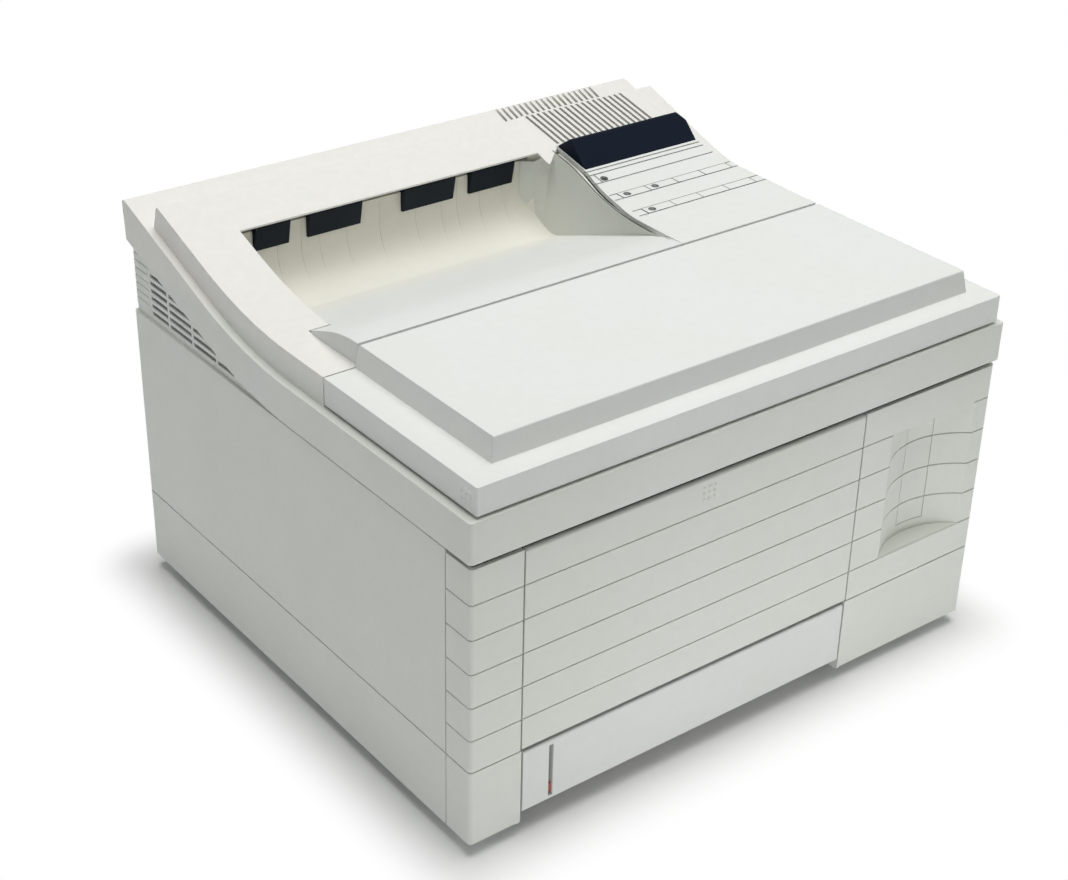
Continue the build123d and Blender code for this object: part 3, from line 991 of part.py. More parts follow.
def spur_gear(axis, teeth, phase, bore, hub=0.0):
    """A spur gear in the gear plane; its web is thinned between hub and rim on larger gears."""
    with BuildPart() as gear:
        with BuildSketch(Plane.YZ.offset(GEAR_X[0])) as gear_face:
            with BuildLine():
                Polyline(*[(axis[0] + y, axis[1] + z) for y, z in tooth_outline(teeth, phase)], close=True)
            make_face()
        extrude(gear_face.sketch, amount=GEAR_X[1] - GEAR_X[0])
        if hub:
            with BuildSketch(Plane.YZ.offset(GEAR_X[0])) as web:
                with Locations(axis):
                    Circle(pitch_radius(teeth) - 3 * GEAR_MODULE)
                    Circle(hub, mode=Mode.SUBTRACT)
            extrude(web.sketch, amount=2.2, mode=Mode.SUBTRACT)
        rod(axis, (GEAR_X[0] - 1, GEAR_X[1] + 1), bore, Mode.SUBTRACT)
    return gear


REGISTRATION_AXIS = (TRANSFER_AXIS[0] - pitch_radius(TRANSFER_TEETH) - pitch_radius(REGISTRATION_TEETH),
                     TRANSFER_AXIS[1])
FRONT_IDLER_AXIS = crossing(MOTOR_AXIS, pitch_radius(PINION_TEETH) + pitch_radius(FRONT_IDLER_TEETH),
                            TRANSFER_AXIS, pitch_radius(FRONT_IDLER_TEETH) + pitch_radius(TRANSFER_TEETH), -1)
REAR_IDLER_AXIS = crossing(MOTOR_AXIS, pitch_radius(PINION_TEETH) + pitch_radius(REAR_IDLER_TEETH),
                           HEAT_AXIS, pitch_radius(REAR_IDLER_TEETH) + pitch_radius(HEAT_TEETH), 1)
PINION_PHASE = 0.0
FRONT_IDLER_PHASE = meshed_phase(MOTOR_AXIS, PINION_TEETH, PINION_PHASE, FRONT_IDLER_AXIS, FRONT_IDLER_TEETH)
REAR_IDLER_PHASE = meshed_phase(MOTOR_AXIS, PINION_TEETH, PINION_PHASE, REAR_IDLER_AXIS, REAR_IDLER_TEETH)
TRANSFER_PHASE = meshed_phase(FRONT_IDLER_AXIS, FRONT_IDLER_TEETH, FRONT_IDLER_PHASE, TRANSFER_AXIS,
                              TRANSFER_TEETH)
HEAT_PHASE = meshed_phase(REAR_IDLER_AXIS, REAR_IDLER_TEETH, REAR_IDLER_PHASE, HEAT_AXIS, HEAT_TEETH)
REGISTRATION_PHASE = meshed_phase(TRANSFER_AXIS, TRANSFER_TEETH, TRANSFER_PHASE, REGISTRATION_AXIS,
                                  REGISTRATION_TEETH)
print("idler axes", FRONT_IDLER_AXIS, REAR_IDLER_AXIS)

IDLER_BORE = SHAFT_RADIUS + RUNNING
save(spur_gear(MOTOR_AXIS, PINION_TEETH, PINION_PHASE, 2.0), "motor_pinion")
save(spur_gear(FRONT_IDLER_AXIS, FRONT_IDLER_TEETH, FRONT_IDLER_PHASE, IDLER_BORE, 7.0), "front_idler_gear")
save(spur_gear(REAR_IDLER_AXIS, REAR_IDLER_TEETH, REAR_IDLER_PHASE, IDLER_BORE, 7.0), "rear_idler_gear")
save(spur_gear(TRANSFER_AXIS, TRANSFER_TEETH, TRANSFER_PHASE, SHAFT_RADIUS, 6.0), "transfer_gear")
save(spur_gear(HEAT_AXIS, HEAT_TEETH, HEAT_PHASE, SHAFT_RADIUS, 6.0), "heat_roller_gear")

# Engine side frames
RUNNER_TOP = BASE_TOP - 1
MOTOR_RADIUS = 21.0
FRAME_FOOT = 6.0
SCREW_POST = 3.0
PAPER_X = (PAPER_MIDDLE - 110.0, PAPER_MIDDLE + 110.0)
RIGHT_INNER = RIGHT_FRAME_X
LEFT_INNER = LEFT_FRAME_X + FRAME_SHEET
CARRIED = [PICKUP_AXIS, TRANSFER_AXIS, REGISTRATION_AXIS, HEAT_AXIS, PRESSURE_AXIS, EXIT_AXIS]
FRAME_OUTLINE = [(-160.0, RUNNER_TOP), (165.0, RUNNER_TOP), (165.0, 258.0), (133.5, 258.0), (133.5, 232.0),
                 (-30.0, 232.0), (-42.0, 222.0), (-160.0, 222.0)]


def frame_plate(x, foot_x):
    """A sheet-metal side frame with a bent foot and the bearing holes."""
    side_prism(FRAME_OUTLINE, x)
    block(foot_x, (-150.0, 140.0), (RUNNER_TOP, RUNNER_TOP + FRAME_SHEET))
    for bearing in CARRIED:
        rod(bearing, (x[0] - 1, x[1] + 1), SHAFT_RADIUS + RUNNING, Mode.SUBTRACT)
    side_prism([(-20, 90), (-2, 90), (-2, 160), (-20, 160)], (x[0] - 1, x[1] + 1), Mode.SUBTRACT)
    side_prism([(48, 80), (95, 80), (95, 98), (48, 98)], (x[0] - 1, x[1] + 1), Mode.SUBTRACT)


with BuildPart() as left_frame:
    frame_plate((LEFT_FRAME_X, LEFT_INNER), (LEFT_FRAME_X, LEFT_INNER + FRAME_FOOT))
    rod(MOTOR_AXIS, (LEFT_FRAME_X - 1, LEFT_INNER + 1), 4.0, Mode.SUBTRACT)
    for stud in (FRONT_IDLER_AXIS, REAR_IDLER_AXIS):
        rod(stud, (GEAR_X[0] - 2, LEFT_FRAME_X), SHAFT_RADIUS)
        rod(stud, (GEAR_X[1] + 0.4, LEFT_FRAME_X), SHAFT_RADIUS + 2.5)
save(left_frame, "left_frame")

BOARD_X = 104.0
BOARD_Y = (20.0, 184.0)
BOARD_Z = (85.0, 195.0)
with BuildPart() as right_frame:
    frame_plate((RIGHT_INNER, RIGHT_INNER + FRAME_SHEET), (FRONT_RIGHT_X + 0.7, RIGHT_INNER + FRAME_SHEET))
    for post_y in (BOARD_Y[0] + 8, 150.0):
        for post_z in (BOARD_Z[0] + 8, BOARD_Z[1] - 8):
            rod((post_y, post_z), (RIGHT_INNER + FRAME_SHEET, BOARD_X), SCREW_POST)
save(right_frame, "right_frame")

SHELF_Z = 184.0
with BuildPart() as cross_members:
    for tie_y, tie_z in (((-160.0, -151.0), (206.0, 218.0)), ((156.0, 164.0), (70.0, 82.0)),
                         ((156.0, 164.0), (176.0, 188.0))):
        block((LEFT_INNER, RIGHT_INNER), tie_y, tie_z)
    block((LEFT_INNER, RIGHT_INNER), (-34.0, 80.0), (SHELF_Z, SHELF_Z + 2))
    block((LEFT_INNER, RIGHT_INNER), (78.0, 80.0), (SHELF_Z - 8, SHELF_Z + 2))
save(cross_members, "cross_members")

# Paper rollers
SHAFT_X = (GEAR_X[0] - 1.0, RIGHT_INNER + FRAME_SHEET + 2.0)


def roller(name, axis, radius, sleeves, left_end=LEFT_FRAME_X - 2.0, flat=False, gear=None):
    """A shaft with one or more sleeves and perhaps its moulded gear; a flat makes the pickup's D shape."""
    with BuildPart() as built:
        if gear:
            add(gear.part)
        for sleeve in sleeves:
            rod(axis, sleeve, radius)
        if flat:
            block((sleeves[0][0] - 1, sleeves[-1][1] + 1), (axis[0] - radius - 1, axis[0] + radius + 1),
                  (axis[1] + radius * 0.55, axis[1] + radius + 1), Mode.SUBTRACT)
        rod(axis, (left_end, SHAFT_X[1]), SHAFT_RADIUS)
    save(built, name)


roller("pickup_roller", PICKUP_AXIS, PICKUP_RADIUS, [(PAPER_MIDDLE - 20, PAPER_MIDDLE + 20)], flat=True)
roller("registration_roller", REGISTRATION_AXIS, REGISTRATION_RADIUS, [PAPER_X], SHAFT_X[0],
       gear=spur_gear(REGISTRATION_AXIS, REGISTRATION_TEETH, REGISTRATION_PHASE, SHAFT_RADIUS, 6.0))
roller("transfer_roller", TRANSFER_AXIS, TRANSFER_RADIUS, [PAPER_X], SHAFT_X[0])
roller("exit_roller", EXIT_AXIS, EXIT_RADIUS,
       [(low + 3, high - 3) for low, high in EXIT_WINDOWS])

# Fuser
FUSER_Y = (97.0, 147.0)
FUSER_Z = (103.0, 172.0)
FUSER_X = (LEFT_INNER + 0.3, RIGHT_INNER - 0.3)
FUSER_WALL = 2.5
NIP_Z = (130.0, 145.0)
with BuildPart() as fuser_housing:
    block(FUSER_X, FUSER_Y, FUSER_Z)
    fillet(fuser_housing.edges().filter_by(Axis.X).group_by(Axis.Z)[-1], 8.0)
    block((FUSER_X[0] + 5, FUSER_X[1] - 5), (FUSER_Y[0] + FUSER_WALL, FUSER_Y[1] - FUSER_WALL),
          (FUSER_Z[0] + FUSER_WALL, FUSER_Z[1] - FUSER_WALL - 2), Mode.SUBTRACT)
    block((FUSER_X[0] + 5, FUSER_X[1] - 5), (FUSER_Y[0] - 1, FUSER_Y[1] + 1), NIP_Z, Mode.SUBTRACT)
    for bearing in (HEAT_AXIS, PRESSURE_AXIS):
        rod(bearing, (FUSER_X[0] - 1, FUSER_X[1] + 1), SHAFT_RADIUS + RUNNING, Mode.SUBTRACT)
save(fuser_housing, "fuser_housing")
roller("heat_roller", HEAT_AXIS, HEAT_RADIUS, [PAPER_X], SHAFT_X[0])
roller("pressure_roller", PRESSURE_AXIS, PRESSURE_RADIUS, [PAPER_X])

# Toner cartridge and its drum
CARTRIDGE_X = (FRONT_LEFT_X + 10, FRONT_RIGHT_X - 10)
CHEEK = 3.0
CARTRIDGE_PIN = 5.0
CARTRIDGE_PIN_SPOT = (-112.0, 176.0)
with BuildPart() as toner_cartridge:
    side_prism([(-147.0, 150.0), (-147.0, 204.0), (-134.0, 219.0), (-78.0, 219.0), (-58.0, 200.0),
                (-55.0, 140.0), (-58.0, 124.0), (-63.0, 121.0), (-70.0, 146.0), (-90.0, 146.0), (-98.0,
                 134.0),
                (-120.0, 130.0)], CARTRIDGE_X)
    for cheek_x in ((CARTRIDGE_X[0] - CHEEK, CARTRIDGE_X[0]), (CARTRIDGE_X[1], CARTRIDGE_X[1] + CHEEK)):
        side_prism([(-147.0, 150.0), (-147.0, 204.0), (-134.0, 219.0), (-78.0, 219.0), (-58.0, 200.0),
                    (-55.0, 130.0), (-64.0, 116.0), (-86.0, 116.0), (-100.0, 130.0)], cheek_x)
    rod(DRUM_AXIS, CARTRIDGE_X, DRUM_RADIUS + 0.8, Mode.SUBTRACT)
    rod(DRUM_AXIS, (CARTRIDGE_X[0] - 5, CARTRIDGE_X[1] + 5), SHAFT_RADIUS + RUNNING, Mode.SUBTRACT)
    rod(CARTRIDGE_PIN_SPOT, (LEFT_INNER + 0.3, CARTRIDGE_X[0]), CARTRIDGE_PIN)
    rod(CARTRIDGE_PIN_SPOT, (CARTRIDGE_X[1], RIGHT_INNER - 0.3), CARTRIDGE_PIN)
    block((PAPER_MIDDLE - 45, PAPER_MIDDLE + 45), (-136.0, -120.0), (210.0, 220.0), Mode.SUBTRACT)
save(toner_cartridge, "toner_cartridge")

with BuildPart() as photo_drum:
    rod(DRUM_AXIS, (CARTRIDGE_X[0] + 0.5, CARTRIDGE_X[1] - 0.5), DRUM_RADIUS)
    rod(DRUM_AXIS, (CARTRIDGE_X[0] - CHEEK - 1, CARTRIDGE_X[1] + CHEEK + 1), SHAFT_RADIUS)
save(photo_drum, "photo_drum")

# Laser scanner on its shelf
SCANNER_X = (-140.0, 60.0)
SCANNER_Y = (-30.0, 72.0)
SCANNER_Z = (SHELF_Z + 2, SHELF_Z + 32)
MIRROR_SPOT = (PAPER_MIDDLE, 44.0)
MIRROR_RADIUS = 16.0
with BuildPart() as laser_scanner:
    block(SCANNER_X, SCANNER_Y, SCANNER_Z)
    fillet(laser_scanner.edges().filter_by(Axis.Z), 6.0)
    block((SCANNER_X[0] + 3, SCANNER_X[1] - 3), (SCANNER_Y[0] + 3, SCANNER_Y[1] - 3),
          (SCANNER_Z[0] + 3, SCANNER_Z[1] - 3), Mode.SUBTRACT)
    block((SCANNER_X[0] + 20, SCANNER_X[1] - 20), (SCANNER_Y[0] - 1, SCANNER_Y[0] + 4),
          (SCANNER_Z[0] + 8, SCANNER_Z[0] + 18), Mode.SUBTRACT)
    with Locations((MIRROR_SPOT[0], MIRROR_SPOT[1], SCANNER_Z[0] + 5.5)):
        Cylinder(9.0, 6.0)
save(laser_scanner, "laser_scanner")

with BuildPart() as polygon_mirror:
    with BuildSketch(Plane.XY.offset(SCANNER_Z[0] + 8.9)) as facets:
        with Locations(MIRROR_SPOT):
            RegularPolygon(MIRROR_RADIUS, 6)
    extrude(facets.sketch, amount=6.0)
save(polygon_mirror, "polygon_mirror")

# Main motor inside the left frame, its shaft through to the pinion
with BuildPart() as main_motor:
    rod(MOTOR_AXIS, (LEFT_INNER, LEFT_INNER + 20), MOTOR_RADIUS)
    side_prism([(MOTOR_AXIS[0] - 27, MOTOR_AXIS[1] - 27), (MOTOR_AXIS[0] + 27, MOTOR_AXIS[1] - 27),
                (MOTOR_AXIS[0] + 27, MOTOR_AXIS[1] + 27), (MOTOR_AXIS[0] - 27, MOTOR_AXIS[1] + 27)],
               (LEFT_INNER, LEFT_INNER + 2))
    rod(MOTOR_AXIS, (GEAR_X[0] + 0.5, LEFT_INNER), 2.0 - PIN_CLEARANCE)
save(main_motor, "main_motor")

# Exit flaps in the four windows of the bin's rear wall
FLAP_PROUD = 1.6
with BuildPart() as exit_flaps:
    for window in EXIT_WINDOWS:
        side_prism([(BIN_REAR - FLAP_PROUD, EXIT_WINDOW_LOW + 0.2), (BIN_REAR + 2.0, EXIT_WINDOW_LOW + 0.2),
                    (BIN_REAR + 2.0, BIN_WALL_TOP + 1), (BIN_REAR - 3.0, BIN_WALL_TOP + 4),
                    (BIN_REAR - 5.0, BIN_WALL_TOP + 3)], (window[0] + 0.3, window[1] - 0.3))
save(exit_flaps, "exit_flaps")

# Boards, inlet and fan
with BuildPart() as formatter_board:
    block((BOARD_X, BOARD_X + 1.6), BOARD_Y, BOARD_Z)
    block((BOARD_X + 1.6, BOARD_X + 13), (BOARD_Y[1] - 8, BODY_BACK - 0.4), (104.0, 148.0))
    block((BOARD_X + 1.6, BOARD_X + 13), (BOARD_Y[1] - 8, BODY_BACK - 0.4), (156.0, 176.0))
    for chip_y in (50.0, 90.0, 130.0):
        for chip_z in (105.0, 150.0):
            block((BOARD_X + 1.6, BOARD_X + 4.6), (chip_y, chip_y + 24), (chip_z, chip_z + 24))
save(formatter_board, "formatter_board")

SUPPLY_X = (104.0, 198.0)
SUPPLY_Y = (-120.0, 90.0)
SUPPLY_Z = 22.0
FLOOR_TOP = FOOT_HEIGHT + WALL
with BuildPart() as power_supply:
    block(SUPPLY_X, SUPPLY_Y, (SUPPLY_Z, SUPPLY_Z + 1.6))
    for post_x in (SUPPLY_X[0] + 6, SUPPLY_X[1] - 6):
        for post_y in (SUPPLY_Y[0] + 6, SUPPLY_Y[1] - 6):
            with BuildSketch(Plane.XY.offset(FLOOR_TOP)) as post:
                with Locations((post_x, post_y)):
                    Circle(SCREW_POST)
            extrude(post.sketch, amount=SUPPLY_Z - FLOOR_TOP)
    block((120.0, 168.0), (-60.0, -8.0), (SUPPLY_Z + 1.6, SUPPLY_Z + 38))
    block((176.0, 182.0), (-100.0, 40.0), (SUPPLY_Z + 1.6, SUPPLY_Z + 34))
    for can_y in (10.0, 40.0):
        with BuildSketch(Plane.XY.offset(SUPPLY_Z + 1.6)) as can:
            with Locations((144.0, can_y)):
                Circle(12.0)
        extrude(can.sketch, amount=32.0)
save(power_supply, "power_supply")

INLET_DEPTH = 16.0
with BuildPart() as ac_inlet:
    block((INLET_X[0] + 0.5, INLET_X[1] - 0.5), (BODY_BACK - 18, BODY_BACK),
          (INLET_Z[0] + 0.5, INLET_Z[1] - 0.5))
    block((INLET_X[0] - 4, INLET_X[1] + 4), (BODY_BACK, BODY_BACK + RIM_OVERHANG),
          (INLET_Z[0] - 3, INLET_Z[1] + 3))
    block((INLET_X[0] + 3, INLET_X[1] - 3), (BODY_BACK - INLET_DEPTH + 2, BODY_BACK + 3),
          (INLET_Z[0] + 4, INLET_Z[1] - 4), Mode.SUBTRACT)
    for pin_x in (-7.0, 0.0, 7.0):
        middle_x = (INLET_X[0] + INLET_X[1]) / 2 + pin_x
        block((middle_x - 1, middle_x + 1), (BODY_BACK - INLET_DEPTH + 1, BODY_BACK - 2), (90.0, 96.0))
save(ac_inlet, "ac_inlet")

FAN_MIDDLE = (132.0, 218.0)
FAN_HALF = 28.0
FAN_X = (187.5, HALF_WIDTH - LOUVRE_INSET - WALL - 0.4)
BLADE_COUNT = 7
with BuildPart() as fan_frame:
    block(FAN_X, (FAN_MIDDLE[0] - FAN_HALF, FAN_MIDDLE[0] + FAN_HALF),
          (FAN_MIDDLE[1] - FAN_HALF, FAN_MIDDLE[1] + FAN_HALF))
    rod(FAN_MIDDLE, (FAN_X[0] - 1, FAN_X[1] + 1), FAN_HALF - 1.5, Mode.SUBTRACT)
    block((FAN_X[0], FAN_X[0] + 1.5), (FAN_MIDDLE[0] - FAN_HALF + 1, FAN_MIDDLE[0] + FAN_HALF - 1),
          (FAN_MIDDLE[1] - 1.5, FAN_MIDDLE[1] + 1.5))
    block((FAN_X[0], FAN_X[0] + 1.5), (FAN_MIDDLE[0] - 1.5, FAN_MIDDLE[0] + 1.5),
          (FAN_MIDDLE[1] - FAN_HALF + 1, FAN_MIDDLE[1] + FAN_HALF - 1))
    rod(FAN_MIDDLE, (FAN_X[0], FAN_X[0] + 1.5), 9.0)
save(fan_frame, "fan_frame")

with BuildPart() as cooling_fan:
    rod(FAN_MIDDLE, (FAN_X[0] + 1.8, FAN_X[1] - 2), 9.0)
    for blade in range(BLADE_COUNT):
        turn = blade * 2 * pi / BLADE_COUNT
        along, across = (cos(turn), sin(turn)), (-sin(turn), cos(turn))
        corners = [(FAN_MIDDLE[0] + along[0] * out + across[0] * wide,
                    FAN_MIDDLE[1] + along[1] * out + across[1] * wide)
                   for out, wide in ((7.0, -2.0), (FAN_HALF - 2.5, -1.0), (FAN_HALF - 2.5, 7.0), (7.0, 2.0))]
        side_prism(corners, (FAN_X[0] + 5, FAN_X[0] + 7))
save(cooling_fan, "cooling_fan")
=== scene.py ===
"""Looks of a desktop laser printer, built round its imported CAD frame.

Every length is in metres in the frame's own axes: +X to the right seen from the front,
+Y to the back and +Z up, with the origin on the desk under the middle of the footprint.
"""

from __future__ import annotations

import logging
import math
from dataclasses import dataclass
from enum import Enum
from typing import Iterable, Sequence

import bmesh
import bpy
import numpy as np
from mathutils import Matrix, Vector

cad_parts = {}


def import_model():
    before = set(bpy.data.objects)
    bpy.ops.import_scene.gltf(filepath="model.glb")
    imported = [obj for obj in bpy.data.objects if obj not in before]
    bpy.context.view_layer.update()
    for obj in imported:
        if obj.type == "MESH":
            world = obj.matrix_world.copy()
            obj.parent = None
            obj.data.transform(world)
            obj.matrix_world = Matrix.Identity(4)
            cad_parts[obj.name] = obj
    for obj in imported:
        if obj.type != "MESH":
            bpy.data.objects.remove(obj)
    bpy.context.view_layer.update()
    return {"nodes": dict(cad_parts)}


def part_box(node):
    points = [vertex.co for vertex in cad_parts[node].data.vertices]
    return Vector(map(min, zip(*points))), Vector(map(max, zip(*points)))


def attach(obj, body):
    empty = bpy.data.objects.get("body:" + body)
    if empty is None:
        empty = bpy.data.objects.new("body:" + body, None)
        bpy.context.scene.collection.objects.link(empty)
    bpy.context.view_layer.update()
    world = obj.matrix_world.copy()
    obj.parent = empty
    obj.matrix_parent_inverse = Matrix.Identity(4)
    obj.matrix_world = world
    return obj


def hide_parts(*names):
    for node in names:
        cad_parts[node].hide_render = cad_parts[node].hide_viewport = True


LOG = logging.getLogger("printer")
MM = 0.001
# Distances within which places count as one, and the smallest size that is divided by.
GRID_MERGE = 1e-6
NODE_MERGE = 2e-6
TINY = 1e-15

Colour = tuple[float, float, float]
Place = tuple[float, float, float]


class Body(str, Enum):
    """Bodies of the frame that pieces made here ride on."""

    CASE = "printer_body"
    TONER_DOOR = "toner_door"
    FRONT_DOOR = "mp_door"
    CASSETTE = "cassette"


class Slot(str, Enum):
    """Material slots of the record."""

    CASING = "casing"
    DISPLAY = "display"
    FLAP = "flap"


class NodeGraph:
    """A thin helper that wires shader nodes by name."""

    def __init__(self, name: str) -> None:
        """Make an empty node material.

        Args:
            name: the material's name.
        """
        self.material = bpy.data.materials.new(name)
        self.material.use_nodes = True
        self.tree = self.material.node_tree
        self.tree.nodes.clear()
        self.output = self.tree.nodes.new("ShaderNodeOutputMaterial")
        self.shader = self.tree.nodes.new("ShaderNodeBsdfPrincipled")
        self.tree.links.new(self.shader.outputs["BSDF"], self.output.inputs["Surface"])
        self.place = self.tree.nodes.new("ShaderNodeTexCoord").outputs["Object"]

    def add(self, kind: str, inputs: dict | None = None, **settings: object) -> bpy.types.Node:
        """Add a node, set its properties and feed its inputs.

        Args:
            kind: the node's type name.
            inputs: input name or number to a value or to an output socket.
            **settings: properties of the node.

        Returns:
            The new node.
        """
        node = self.tree.nodes.new(kind)
        for key, value in settings.items():
            setattr(node, key, value)
        for key, value in (inputs or {}).items():
            self.feed(node.inputs[key], value)
        return node

    def surface(self, inputs: dict[str, object]) -> None:
        """Feed the shader's inputs by name."""
        for key, value in inputs.items():
            self.feed(self.shader.inputs[key], value)

    def vector(self, operation: str, *values: object, output: str = "Vector") -> bpy.types.NodeSocket:
        """Do vector arithmetic on outputs and plain vectors.

        Args:
            operation: name of the operation.
            *values: what it works on.
            output: name of the result's output.

        Returns:
            The result's output.
        """
        return self.add("ShaderNodeVectorMath", dict(enumerate(values)), operation=operation).outputs[output]

    def feed(self, socket: bpy.types.NodeSocket, value: object) -> None:
        """Link an output to a socket, or write a plain value into it.

        Args:
            socket: the input that is fed.
            value: an output socket or a plain value.
        """
        if isinstance(value, bpy.types.NodeSocket):
            self.tree.links.new(value, socket)
        else:
            socket.default_value = value

    def noise(self, scale: float, detail: float = 2.0, roughness: float = 0.5,
              place: bpy.types.NodeSocket | None = None) -> bpy.types.NodeSocket:
        """Noise over the piece's own coordinates or over others.

        Args:
            scale: cells per metre.
            detail: octaves.
            roughness: weight of the finer octaves.
            place: the other coordinates, or None.

        Returns:
            The noise value's output.
        """
        node = self.add(
            "ShaderNodeTexNoise",
            {"Vector": place or self.place, "Scale": scale, "Detail": detail, "Roughness": roughness},
        )
        return node.outputs["Fac"]

    def spread(self, value: bpy.types.NodeSocket, low: float, high: float,
               start: float = 0.0, end: float = 1.0) -> bpy.types.NodeSocket:
        """Map a value from one range to another, clamped.

        Args:
            value: the output to map.
            low: result at start.
            high: result at end.
            start: lower end of the source range.
            end: upper end of the source range.

        Returns:
            The mapped output.
        """
        node = self.add(
            "ShaderNodeMapRange",
            {"Value": value, "From Min": start, "From Max": end, "To Min": low, "To Max": high},
        )
        return node.outputs["Result"]

    def blend(self, factor: bpy.types.NodeSocket, first: object, second: object) -> bpy.types.NodeSocket:
        """Mix two colours by a factor.

        Args:
            factor: share of the second colour.
            first: colour or output at 0.
            second: colour or output at 1.

        Returns:
            The mixed colour's output.
        """
        node = self.add("ShaderNodeMix", data_type="RGBA")
        self.feed(node.inputs[0], factor)
        for socket, value in ((node.inputs[6], first), (node.inputs[7], second)):
            self.feed(socket, value if isinstance(value, bpy.types.NodeSocket) else (*value, 1.0))
        return node.outputs[2]

    def relief(self, height: bpy.types.NodeSocket, distance: float, strength: float,
               edge: float = 0.0) -> None:
        """Drive the shader's normal from a height and, if asked, from rounded edges.

        Args:
            height: output from 0 to 1.
            distance: height of the relief in metres.
            strength: share of the relief that shows.
            edge: radius of the softened edges in metres, or 0 for none.
        """
        inputs: dict = {"Height": height, "Distance": distance, "Strength": strength}
        if edge:
            inputs["Normal"] = self.add("ShaderNodeBevel", {"Radius": edge}, samples=4).outputs["Normal"]
        bump = self.add("ShaderNodeBump", inputs)
        self.feed(self.shader.inputs["Normal"], bump.outputs["Normal"])


@dataclass(frozen=True)
class MouldedPlastic:
    """Spark-eroded injection moulding: fine grain, slow colour drift and soft edges.

    Attributes:
        name: the material's name.
        colour: mean colour, linear.
        aged: colour that the slow drift goes towards.
        roughness: mean roughness.
        grain: grain cells per metre.
        depth: depth of the grain in metres.
        edge: radius of the softened edges in metres.
        specular: strength of the shine.
        warm: colour that the faces further along the axis blend to, or None.
        warm_from: place along the axis that it starts from.
        warm_over: distance that it takes to come in.
        warm_axis: X, Y or Z.
    """

    name: str
    colour: Colour
    aged: Colour
    roughness: float = 0.52
    grain: float = 1500.0
    depth: float = 0.00006
    edge: float = 0.0006
    specular: float = 0.38
    warm: Colour | None = None
    warm_from: float = 0.0
    warm_over: float = 0.008
    warm_axis: str = "Z"

    def material(self) -> bpy.types.Material:
        """Build the material.

        Returns:
            The finished material.
        """
        graph = NodeGraph(self.name)
        drift = graph.spread(graph.noise(9.0, 3.0), 0.0, 1.0, start=0.35, end=0.7)
        mottle = graph.spread(graph.noise(160.0, 4.0, 0.6), 0.0, 0.22, start=0.35, end=0.75)
        tone = graph.blend(drift, self.colour, self.aged)
        if self.warm:
            spot = graph.add("ShaderNodeSeparateXYZ", {"Vector": graph.place}).outputs[self.warm_axis]
            warm_share = graph.spread(spot, 0.0, 1.0, self.warm_from, self.warm_from + self.warm_over)
            tone = graph.blend(warm_share, tone, self.warm)
        deep = tuple(0.9 * part for part in self.aged)
        polish = graph.spread(graph.noise(45.0, 3.0), self.roughness - 0.06, self.roughness + 0.06,
                              start=0.3, end=0.7)
        graph.surface({"Base Color": graph.blend(mottle, tone, deep), "Roughness": polish,
                       "Specular IOR Level": self.specular})
        graph.relief(graph.noise(self.grain, 2.0, 0.6), self.depth, strength=0.55, edge=self.edge)
        return graph.material


@dataclass(frozen=True)
class GlossPlastic:
    """Smooth dark or coloured plastic with faint wipe marks.

    Attributes:
        name: the material's name.
        colour: base colour, linear.
        roughness: mean roughness.
        coat: weight of the clear surface.
        specular: strength of the shine under it.
    """

    name: str
    colour: Colour
    roughness: float = 0.22
    coat: float = 0.3
    specular: float = 0.5

    def material(self) -> bpy.types.Material:
        """Build the material.

        Returns:
            The finished material.
        """
        graph = NodeGraph(self.name)
        dust = graph.spread(graph.noise(240.0, 5.0, 0.65), 0.0, 0.12, start=0.5, end=0.8)
        pale = tuple(min(1.0, 1.3 * part + 0.004) for part in self.colour)
        wipe = graph.spread(graph.noise(30.0, 4.0), self.roughness - 0.05, self.roughness + 0.08,
                            start=0.3, end=0.7)
        graph.surface({"Base Color": graph.blend(dust, self.colour, pale), "Roughness": wipe,
                       "Specular IOR Level": self.specular, "Coat Weight": self.coat,
                       "Coat Roughness": 0.12})
        graph.relief(graph.noise(90.0, 2.0), 0.00004, strength=0.25, edge=0.0004)
        return graph.material


@dataclass(frozen=True)
class SheetMetal:
    """Rolled, plated or machined metal with a lengthwise grain.

    Attributes:
        name: the material's name.
        colour: base colour, linear.
        roughness: mean roughness.
        stretch: how much finer the grain is across X, Y and Z.
        tarnish: colour of the dull patches.
    """

    name: str
    colour: Colour
    roughness: float = 0.34
    stretch: tuple[float, float, float] = (1.0, 14.0, 14.0)
    tarnish: Colour = (0.42, 0.41, 0.38)

    def material(self) -> bpy.types.Material:
        """Build the material.

        Returns:
            The finished material.
        """
        graph = NodeGraph(self.name)
        lined = graph.add("ShaderNodeMapping", {"Vector": graph.place, "Scale": self.stretch})
        rolled = graph.noise(120.0, 4.0, 0.6, lined.outputs["Vector"])
        patches = graph.spread(graph.noise(28.0, 5.0, 0.6), 0.0, 0.45, start=0.45, end=0.75)
        polish = graph.spread(rolled, self.roughness - 0.1, self.roughness + 0.14, start=0.3, end=0.7)
        graph.surface({"Base Color": graph.blend(patches, self.colour, self.tarnish), "Metallic": 1.0,
                       "Roughness": polish})
        graph.relief(rolled, 0.00003, strength=0.4, edge=0.0002)
        return graph.material


